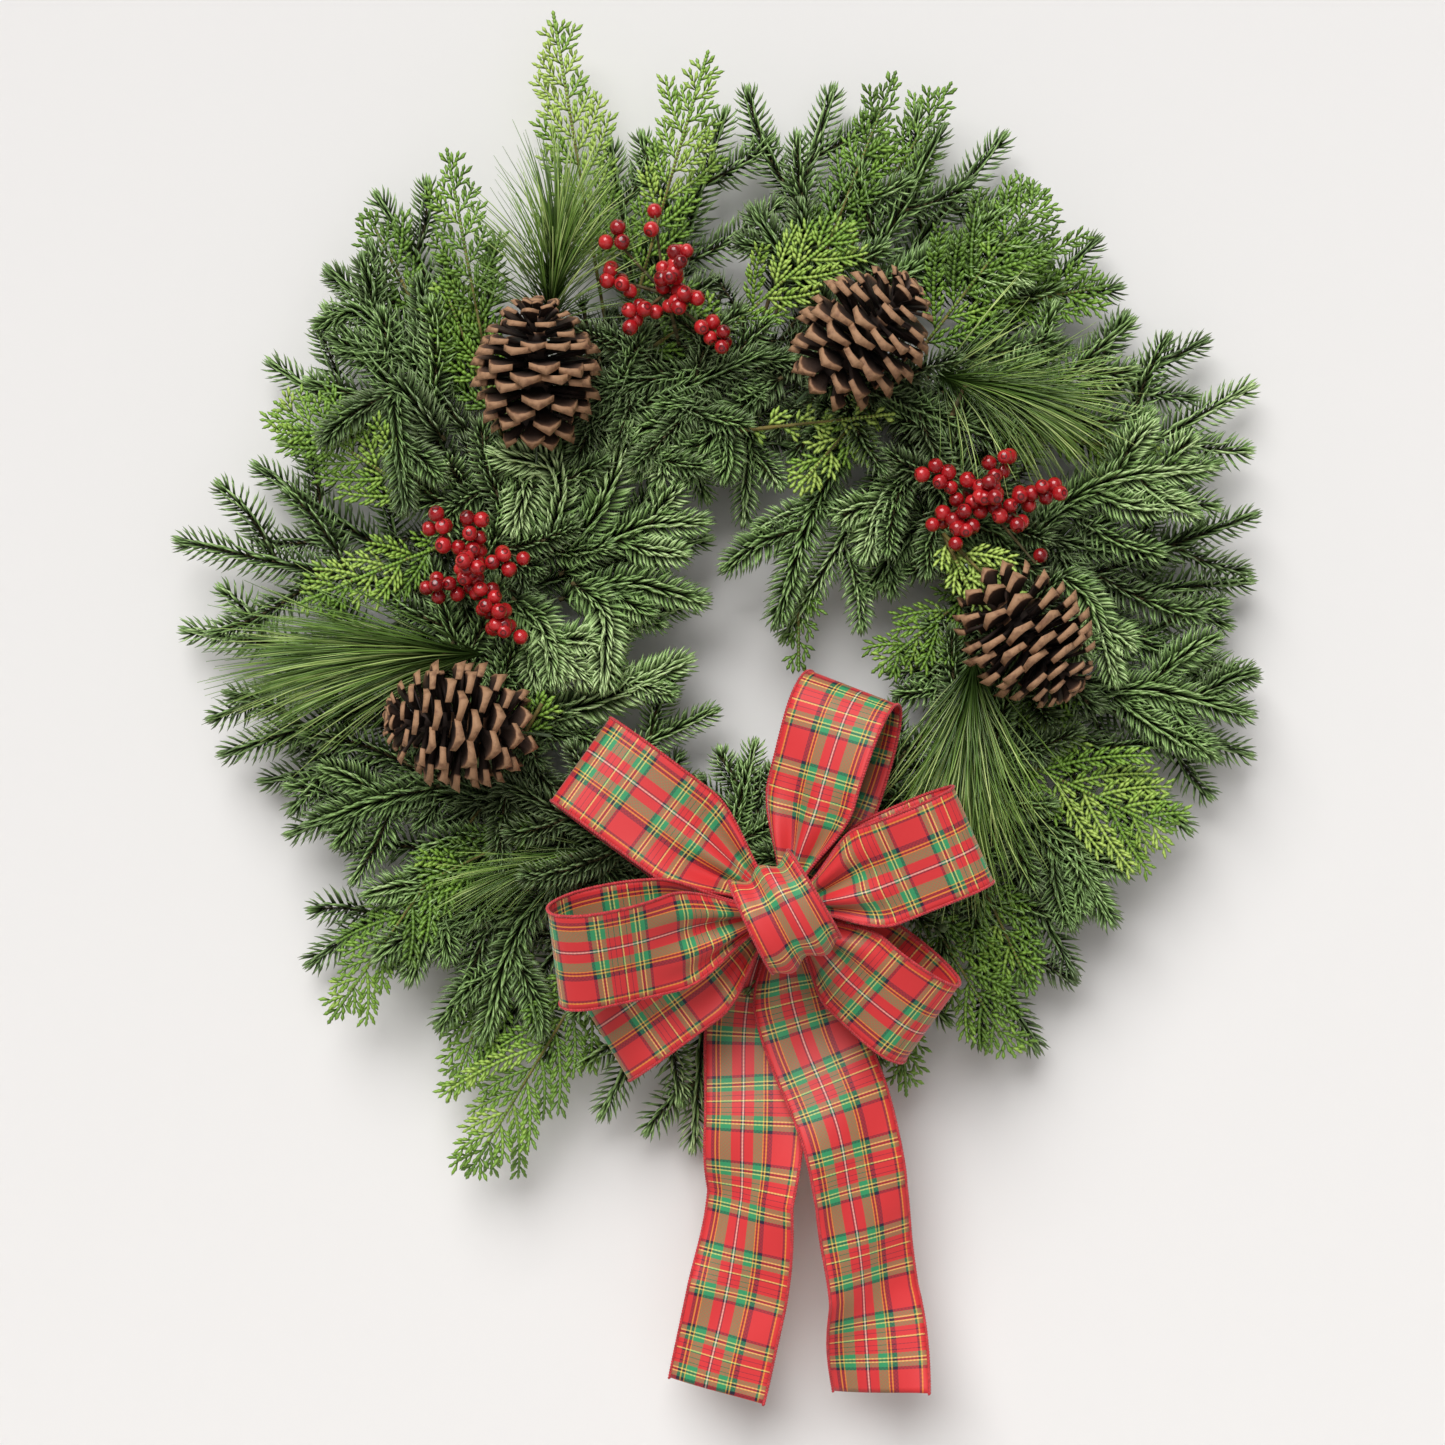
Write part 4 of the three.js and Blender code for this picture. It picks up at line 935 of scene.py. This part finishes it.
def cedar_frond(growth, course, start, width, rng, tone):
    """A cedar frond of scale leaves: a rib, branchlets left and right of it, and smaller ones on each."""
    add_tube(growth, Course(course.at(np.linspace(0, course.length * 0.9, 14))), 1.4, 0.6, 0.02)
    all_places, all_tones = [], []

    def lay_leaves(spots, headings, fronts, widths, step, shade):
        """A chain of scale leaves, each over the root of the next."""
        size = widths[:, None] * MM
        wide = np.cross(headings, fronts) * size
        all_places.append(places_from(wide, fronts * size * 0.45, headings * (step * 2.5 * MM), spots))
        all_tones.append(shade + rng.uniform(-0.1, 0.1, len(spots)))

    def branchlet(root, way_from, way_to, reach, front, leaves, shade):
        """A chain that bends from one direction to another and narrows. Gives its spots and headings."""
        leaf_width, step = leaves
        count = max(2, int(reach / (step * MM)))
        t = (np.arange(count) + 0.2) / count
        headings = unit(way_from * (1 - t)[:, None] + way_to * t[:, None])
        strides = headings * reach / count
        spots = root + np.cumsum(strides, axis=0) - strides
        lay_leaves(spots, headings, square_to(headings, front), leaf_width * (1 - 0.3 * t), step, shade)
        return spots, headings

    blade = course.length * (1 - start)
    pairs = max(5, int(blade / BRANCHLET_STEP))
    for i in range(pairs):
        share = 1 - (1 - (i + 0.5) / pairs) ** 1.25
        s = course.length * start + blade * share * 0.97
        heading, front, side = frame_at(course, s)
        hand = side * (1 if i % 2 == 0 else -1)
        # The frond is broad near its root and narrows to its tip, and every fifth branchlet is a long one.
        profile = min(0.65 + share, 1.22 * (1 - share) ** 0.55)
        reach = width * MM * 0.74 * profile * (1.35 if i % 5 == 1 else 0.95) * rng.uniform(0.8, 1.12)
        fall = front * rng.uniform(-0.3, 0.2)
        out = unit(heading * 0.74 + hand * 0.68 + fall)
        end = unit(heading * 0.92 + hand * 0.4 + fall * 1.8)
        light = rng.uniform(-0.2, 0.16) + 0.16 * share
        spots, headings = branchlet(course.at(s), out, end, reach, front, BRANCHLET_LEAVES, tone + light)
        twigs = int(reach / SUB_BRANCHLET_STEP)
        for j in range(1, twigs):
            k = min(len(spots) - 1, int(len(spots) * (j + 0.4) / (twigs + 0.5)))
            aside = np.cross(headings[k], front) * (1 if j % 2 == 0 else -1)
            longest = min(SUB_BRANCHLET_LENGTH, 0.38 * reach) * (1 - 0.6 * (j / twigs))
            sub_reach = longest * rng.uniform(0.85, 1.15)
            sub_out = unit(headings[k] * 0.8 + aside * 0.6)
            sub_end = unit(headings[k] * 0.88 + aside * 0.46)
            shade = tone + (light + rng.uniform(-0.08, 0.08))
            branchlet(spots[k], sub_out, sub_end, sub_reach, front, SUB_BRANCHLET_LEAVES, shade)
    leaf_width, step = RIB_LEAVES
    s = np.arange(course.length * start * 0.8, course.length, 0.0025)
    heading, front, _ = frames_on(course, s)
    lay_leaves(course.at(s), heading, front, np.full(len(s), leaf_width), step, tone)
    growth.add(LEAF_SCALE, np.concatenate(all_places), SKIN, np.concatenate(all_tones))


def cedar_pieces():
    """The branches of the frame, each with its fronds, and small fronds laid over the fir."""
    finishes = [cedar_leaves, cedar_bark]
    for index, (slot, name, tone, fronds) in enumerate(CEDAR_BUNCHES):
        rng = np.random.default_rng(200 + index)
        growth = growth_from_ring(slot)
        for x, z, depth, width in fronds:
            cedar_frond(growth, stem_course(slot, x, z, depth), 0.3, width, rng, tone)
        growth.piece(f"cedar_{name}_leafy", finishes, [f"cedar_{name}"], "cedar")
    rng = np.random.default_rng(240)
    growth = Growth()
    for root, tip, depth, width, tone in CEDAR_FRONT:
        cedar_frond(growth, laid_course([root, tip], depth), 0.02, width, rng, tone)
    growth.piece("cedar_front_fronds", finishes, [], "cedar")


def pine_pieces():
    """Tufts of long needles that fan out from the last stretch of a twig, flatter than they are wide."""
    for index, (slot, x, z, depth, towards, count, spread, length) in enumerate(PINE_TUFTS):
        rng = np.random.default_rng(400 + index)
        growth = growth_from_ring(slot)
        course = stem_course(slot, x, z, depth)
        add_tube(growth, course, 1.8, 1.6, 0.01)
        heading = unit(np.array((towards[0], -0.1, towards[1])))
        middle = at(x, z, depth)
        twig = Course([course.at(course.length * 0.96), middle, middle + heading * 0.03])
        add_tube(growth, twig, 1.7, 1.2, 0.008)
        # Needles grow from 20 mm before the middle to 35 mm past it, and the first ones spread most.
        share = rng.uniform(0, 1, count)
        spots = middle + heading * (share * 0.055 - 0.02)[:, None]
        front = square_to(heading, FRONT)
        side = np.cross(heading, front)
        turn = np.arange(count) * GOLDEN
        outward = front * (0.6 * np.cos(turn))[:, None] + side * np.sin(turn)[:, None]
        splay = spread * (1.15 - 0.55 * share) * rng.uniform(0.1, 1.1, count)
        way = unit(turned(heading, outward, splay))
        # They bow outwards and a little down, under their own weight.
        bow = unit(outward * 0.3 + np.array((0, 0, -0.5)) + rng.uniform(-0.3, 0.3, (count, 3)))
        bow = square_to(way, bow)
        wide = np.cross(bow, way)
        size = (length * MM * rng.uniform(0.72, 1.12, count))[:, None]
        shade = 0.57 + rng.uniform(-0.5, 0.48, count)
        growth.add(PINE_NEEDLE, places_from(wide * 1.25 * MM, bow * size, way * size, spots), SKIN, shade)
        name = f"pine_{index + 1}_needled"
        growth.piece(name, [pine_needles, twig_bark], [f"pine_tuft_{index + 1}"], "pine")


def cone_pieces():
    """Open cones: scales round a slim core, bent back at the base and closing towards the tip."""
    for index, (x, z, towards, lean) in enumerate(CONES):
        rng = np.random.default_rng(500 + index)
        growth = Growth()
        axis = unit(np.array((towards[0], -lean, towards[1])))
        base = at(x, z, CONE_DEPTH) - axis * CONE_LENGTH * 0.48 * MM
        first = unit(np.cross(axis, (0.2, 0.3, 0.9)))
        second = np.cross(axis, first)
        t = (np.arange(CONE_SCALES) + 0.5) / CONE_SCALES
        outward = turned(first, second, np.arange(CONE_SCALES) * GOLDEN)
        outer = CONE_RADIUS * np.sin(math.pi * (0.17 + 0.78 * t)) ** 0.7
        pitch = np.interp(t, SCALE_PITCH_AT, SCALE_PITCH) + rng.uniform(-0.15, 0.15, CONE_SCALES)
        way = unit(turned(outward, axis, pitch))
        up = square_to(way, axis)
        wide = np.cross(up, way)
        size = (outer * 0.86 * MM)[:, None]
        on_axis = base + axis * (CONE_LENGTH * MM * (0.1 + 0.72 * t))[:, None]
        root = on_axis + outward * (outer * 0.12 * MM)[:, None]
        tone = rng.uniform(0, 1, CONE_SCALES)
        growth.add(CONE_SCALE, places_from(wide * size * 0.58, up * size, way * size, root), SKIN, tone)
        core = Course([base + axis * 0.006, base + axis * CONE_LENGTH * MM * 0.9])
        add_tube(growth, core, 12, 5, 0.01, SKIN, -0.6)
        growth.piece(f"cone_{index + 1}_scaled", [cone_wood], [f"pine_cone_{index + 1}"], "cone", False)


def berry_pieces():
    """Sprays of berries that crowd round thin arms, clear of each other where there is room."""
    for index, (slot, x, z, depth, arms) in enumerate(BERRY_SPRAYS):
        rng = np.random.default_rng(600 + index)
        growth = growth_from_ring(slot)
        add_tube(growth, stem_course(slot, x, z, depth), 1.5, 1.3, 0.01)
        middle = at(x, z, depth)
        placed = []
        for end_x, end_z, rise, berries, first in arms:
            end = at(end_x, end_z, depth + rise)
            add_tube(growth, Course([middle, end]), 1.2, 0.8, 0.01)
            for k in range(berries):
                root = middle + (end - middle) * (first + (1 - first) * (k + 1) / berries)
                for _ in range(60):
                    away = unit(rng.normal(0, 1, 3) + FRONT * 0.9)
                    ball = root + away * rng.uniform(*BERRY_OFFSET) * MM
                    if all(np.linalg.norm(ball - other) > BERRY_SPACING * MM for other in placed):
                        break
                placed.append(ball)
                add_tube(growth, Course([root, ball]), 0.6, 0.5, 0.02)
                away = unit(ball - root)
                across = unit(np.cross(away, (0.3, 0.5, 0.8)))
                axes = np.stack((across, np.cross(away, across), away)) * (rng.uniform(*BERRY_RADIUS) * MM)
                place = places_from(axes[None, 0], axes[None, 1], axes[None, 2], ball[None])
                growth.add(BERRY, place, SKIN, rng.uniform(-0.2, 0.3, 1))
        name = f"berries_{index + 1}_glossy"
        growth.piece(name, [berry_skin, twig_bark], [f"berry_spray_{index + 1}"], "berry")


def wire_pieces():
    """The ring, drawn round, and the thin wires, which keep the frame's shape."""
    growth = Growth()
    turns = np.linspace(0, 2 * math.pi, 145)
    circle = [at(RING_RADIUS * math.cos(turn), RING_RADIUS * math.sin(turn), 0) for turn in turns]
    add_tube(growth, Course(circle), RING_WIRE_RADIUS, RING_WIRE_RADIUS, 0.0078, SKIN)
    growth.piece("ring_drawn_wire", [ring_paint], ["wire_ring"], "ring_wire")
    for name in ["binding_wire", "bow_wire"] + [f"cone_wire_{i + 1}" for i in range(len(CONES))]:
        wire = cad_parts[name]
        wire.data.materials.clear()
        wire.data.materials.append(tie_paint)


def ribbon_piece(name, node_name, spot_at, length, along_steps, across_steps, start):
    """A ribbon: a grid whose points follow spot_at(share of the length, share of the width)."""
    bm = bmesh.new()
    bmesh.ops.create_grid(bm, x_segments=across_steps, y_segments=along_steps, size=0.5)
    layer = bm.loops.layers.uv.new("ribbon")
    for face in bm.faces:
        face.smooth = True
        for loop in face.loops:
            x, y = loop.vert.co.x + 0.5, loop.vert.co.y + 0.5
            loop[layer].uv = (x, start + y * length / TARTAN_REPEAT)
    for v in bm.verts:
        v.co = spot_at(v.co.y + 0.5, v.co.x + 0.5)
    obj = new_object(name, mesh_of(bm, name), [tartan])
    cloth = obj.modifiers.new("cloth_thickness", "SOLIDIFY")
    cloth.thickness = RIBBON_THICKNESS * MM
    cloth.offset = 0
    settle(obj, [node_name])
    # A stitch every 1.8 mm, slanting over each edge.
    growth = Growth()
    for share in (0.0, 1.0):
        line = Course([spot_at(y, share) for y in np.linspace(0, 1, along_steps * 2)])
        s = np.linspace(0, line.length, int(line.length / 0.0018))
        heading, front, side = frames_on(line, s)
        slant = unit(heading + side * 0.5)
        wide = np.cross(slant, front) * 2.2 * MM
        growth.add(STITCH, places_from(wide, front * 2.0 * MM, slant * 3.2 * MM, line.at(s)))
    edge = growth.piece(f"{name}_edge", [edge_thread], [], "ribbon")


def loop_axes(angle, roll, tilt):
    """Directions of a loop: out from the knot, across the ribbon, and through the loop to the front."""
    turn, rise = math.radians(angle), math.radians(tilt)
    out = Vector((math.cos(turn) * math.cos(rise), -math.sin(rise), math.sin(turn) * math.cos(rise)))
    across = Matrix.Rotation(math.radians(roll), 3, out) @ Vector(FRONT).cross(out).normalized()
    thick = out.cross(across).normalized()
    if thick.y > 0:
        thick = -thick
    return np.array(out), np.array(across), np.array(thick)


def bow_loop(number, angle, length, roll, tilt, swell, depth):
    """The points of a bow loop, by shares of its length and width, and the length of its ribbon."""
    out, across, thick = loop_axes(angle, roll, tilt)
    pinched = 9
    root = at(BOW_CENTRE[0], BOW_CENTRE[1], depth) + out * pinched * MM
    reach = length - pinched
    # Seen from its edge, the ribbon runs out along one side, round the nose, and back along the other.
    side = [(0, 1.6), (0.22, 0.42 * swell), (0.55, 0.92 * swell), (0.82, swell)]
    nose = [(0.96, 0.62 * swell), (1, 0), (0.96, -0.62 * swell)]
    back = [(far, -level) for far, level in reversed(side)]
    line = through([(far * reach, level, 0) for far, level in side + nose + back], 120)

    def spot_at(length_share, width_share):
        s = length_share * line.length
        far, level, _ = line.at(s)
        heading = line.along(s)
        outward = out * -heading[1] + thick * heading[0]
        v = width_share - 0.5
        # The ribbon is gathered in folds at the knot, and opens to its full width with a slight wave.
        opened = smooth(far / reach * 2.1)
        spread = 0.2 + 0.8 * opened
        gathered = 1 - smooth(far / reach * 1.5)
        fold = gathered * 6.4 * math.cos(v * 2 * math.pi * 2.2 + number) * min(1, spread * 1.6)
        wave = opened * 3.0 * math.sin(far / reach * 6 + number * 1.7) * (v * 2)
        sideways = across * (v * RIBBON_WIDTH * spread)
        return root + (out * far + thick * level + sideways + outward * (fold + wave)) * MM

    return spot_at, line.length


def centre_loop():
    """The points of the short loop over the knot, puckered along its length."""
    out, across, thick = loop_axes(118, 0, 4)
    middle = at(BOW_CENTRE[0], BOW_CENTRE[1], BOW_CENTRE[2] + CENTRE_LOOP_FORWARD)
    half_length, half_thickness = CENTRE_LOOP

    def spot_at(length_share, width_share):
        # Its two ends meet at the back.
        turn = -math.pi / 2 + 0.06 + length_share * (2 * math.pi - 0.12)
        spread = 0.68 + 0.05 * math.sin(turn) - 0.04 * math.cos(turn)
        v = width_share - 0.5
        pucker = 1 + (0.09 - 0.03 * math.sin(turn)) * math.cos(v * 12.6 + turn)
        ring = out * math.cos(turn) * half_length + thick * math.sin(turn) * half_thickness
        return middle + ring * MM * pucker + across * v * RIBBON_WIDTH * spread * MM

    return spot_at


def bow_tail(number, points):
    """The points of a hanging tail, by shares of its length and width, and the length of its ribbon."""
    line = through([at(x, z, depth) for x, z, depth, _ in points], 100)
    turns = [turn for *_, turn in points]

    def spot_at(length_share, width_share):
        s = length_share * line.length
        heading = line.along(s)
        yaw = np.interp(length_share * (len(turns) - 1), np.arange(len(turns)), turns)
        level = Vector(unit(np.cross(heading, (0, 1, 0))))
        across = np.array(Matrix.Rotation(math.radians(yaw), 3, Vector(heading)) @ level)
        facing = np.cross(across, heading)
        v = width_share - 0.5
        # Like the loops, it is gathered at the knot and opens with a slight wave.
        spread = 0.24 + 0.76 * smooth(length_share * 5)
        fold = (1 - smooth(length_share * 4)) * 4 * math.cos(v * 2 * math.pi * 2 + number)
        twist = 2.2 * math.sin(length_share * 15 + number * 2) * v * 2
        wave = twist + 1.2 * math.cos(length_share * 23 + v * 5)
        return line.at(s) + (across * v * RIBBON_WIDTH * spread + facing * (fold + wave)) * MM

    return spot_at, line.length * METRE


def bow_pieces():
    """The ribbons of the bow. Each starts elsewhere in the tartan's repeat."""
    for number, (name, *form) in enumerate(BOW_LOOPS):
        spot_at, length = bow_loop(number, *form)
        start = 0.13 * number
        ribbon_piece(f"loop_{name}_ribbon", f"bow_loop_{name}", spot_at, length, 60, 20, start)
    node_name = "bow_centre_loop"
    ribbon_piece("centre_loop_ribbon", node_name, centre_loop(), CENTRE_LOOP_RIBBON, 44, 18, 0.3)
    for number, (name, points) in enumerate(RIBBON_TAILS):
        spot_at, length = bow_tail(number, points)
        start = 0.2 * number
        ribbon_piece(f"tail_{name}_ribbon", f"ribbon_tail_{name}", spot_at, length, 90, 18, start)


def pinch_piece():
    """The gathered middle of the ribbon, pleated lengthwise and drawn in round its tie."""
    bm = bmesh.new()
    bmesh.ops.create_cone(
        bm, cap_ends=True, segments=36, radius1=PINCH_RADIUS, radius2=PINCH_RADIUS, depth=PINCH_LENGTH
    )
    cut_across(bm, (-12, -6, 0, 6, 12))
    layer = bm.loops.layers.uv.new("ribbon")
    for face in bm.faces:
        face.smooth = True
        for loop in face.loops:
            x, y, z = loop.vert.co
            loop[layer].uv = (math.atan2(y, x) / 3 % 1.0, z / TARTAN_REPEAT)
    for v in bm.verts:
        pleats = 0.08 * math.cos(math.atan2(v.co.y, v.co.x) * 9)
        tie = 0.1 * math.exp(-((v.co.z / 6) ** 2))
        v.co.xy = v.co.xy * (0.9 + pleats - tie)
    bmesh.ops.rotate(bm, verts=bm.verts, matrix=Matrix.Rotation(math.radians(90), 3, "X"))
    bmesh.ops.scale(bm, verts=bm.verts, vec=(MM, MM, MM))
    bmesh.ops.translate(bm, verts=bm.verts, vec=at(BOW_CENTRE[0], BOW_CENTRE[1], PINCH_DEPTH))
    name = "pinch_gathered"
    settle(new_object(name, mesh_of(bm, name), [tartan]), ["bow_pinch"])


wire_pieces()
fir_bunches()
fir_layers()
fir_front()
cedar_pieces()
pine_pieces()
cone_pieces()
berry_pieces()
pinch_piece()
bow_pieces()


def stage_piece(name, corners, code):
    """A flat of matt emulsion paint round the wreath, which shows from its front alone."""
    finish, tree, shader = new_finish(f"{name}_paint")
    feed(shader, {"Base Color": srgb(code), "Roughness": 0.9})
    behind = node(tree, "NewGeometry", {}, "Backfacing")
    clear = node(tree, "BsdfTransparent", {})
    either = node(tree, "MixShader", {0: behind, 1: shader.outputs[0], 2: clear})
    feed(tree.nodes["Material Output"], {"Surface": either})
    bm = bmesh.new()
    bm.faces.new([bm.verts.new(corner) for corner in corners])
    obj = new_object(name, mesh_of(bm, name), [finish])


def room():
    """A pale wall behind the wreath, and a pale floor well below it."""
    left, right, top, near, far = -3, 3, 2.4, -4, 2
    low = FLOOR_HEIGHT
    wall = [(left, WALL_FACE, low), (right, WALL_FACE, low), (right, WALL_FACE, top), (left, WALL_FACE, top)]
    stage_piece("pale_wall", wall, "#efedeb")
    floor = [(left, near, low), (right, near, low), (right, far, low), (left, far, low)]
    stage_piece("pale_floor", floor, "#a9a5a2")


def lights():
    """Soft light from the upper left and front, as of a big window, and a little from all round."""
    for name, spot, size, power, code in (
        ("room_fill", (0.6, -2.8, 0.2), 2.4, 8, "#f6f6fb"),
        ("back_fill", (0.6, 2.0, 0.8), 2.0, 10, "#ffffff"),
    ):
        lamp = bpy.data.lights.new(name, "AREA")
        lamp.shape = "DISK"
        lamp.size = size
        lamp.energy = power
        lamp.color = srgb(code)[:3]
        obj = new_object(name, lamp)
        obj.location = spot
        aim = Vector((0, 0, -0.2)) - Vector(spot)
        obj.rotation_euler = aim.to_track_quat("-Z", "Y").to_euler()
    window = bpy.data.lights.new("window_light", "SUN")
    window.energy = 2.95
    window.angle = math.radians(44)
    obj = new_object("window_light", window)
    obj.rotation_euler = Vector((0.28, 1.0, -0.82)).to_track_quat("-Z", "Y").to_euler()
    world = bpy.data.worlds.new("pale_room")
    world.use_nodes = True
    feed(world.node_tree.nodes["Background"], {"Color": srgb("#f2f2f2"), "Strength": 0.17})
    bpy.context.scene.world = world


def camera():
    """Straight on to the wall, a little left of the middle of the wreath, from under two metres away."""
    lens = bpy.data.cameras.new("front_camera")
    lens.sensor_width = 36
    lens.lens = 70.6
    obj = new_object("front_camera", lens)
    obj.location = (-0.0079, -1.86, -0.2408)
    obj.rotation_euler = (math.radians(90), 0, 0)
    bpy.context.scene.camera = obj
    bpy.context.scene.view_settings.view_transform = "Standard"


room()
lights()
camera()
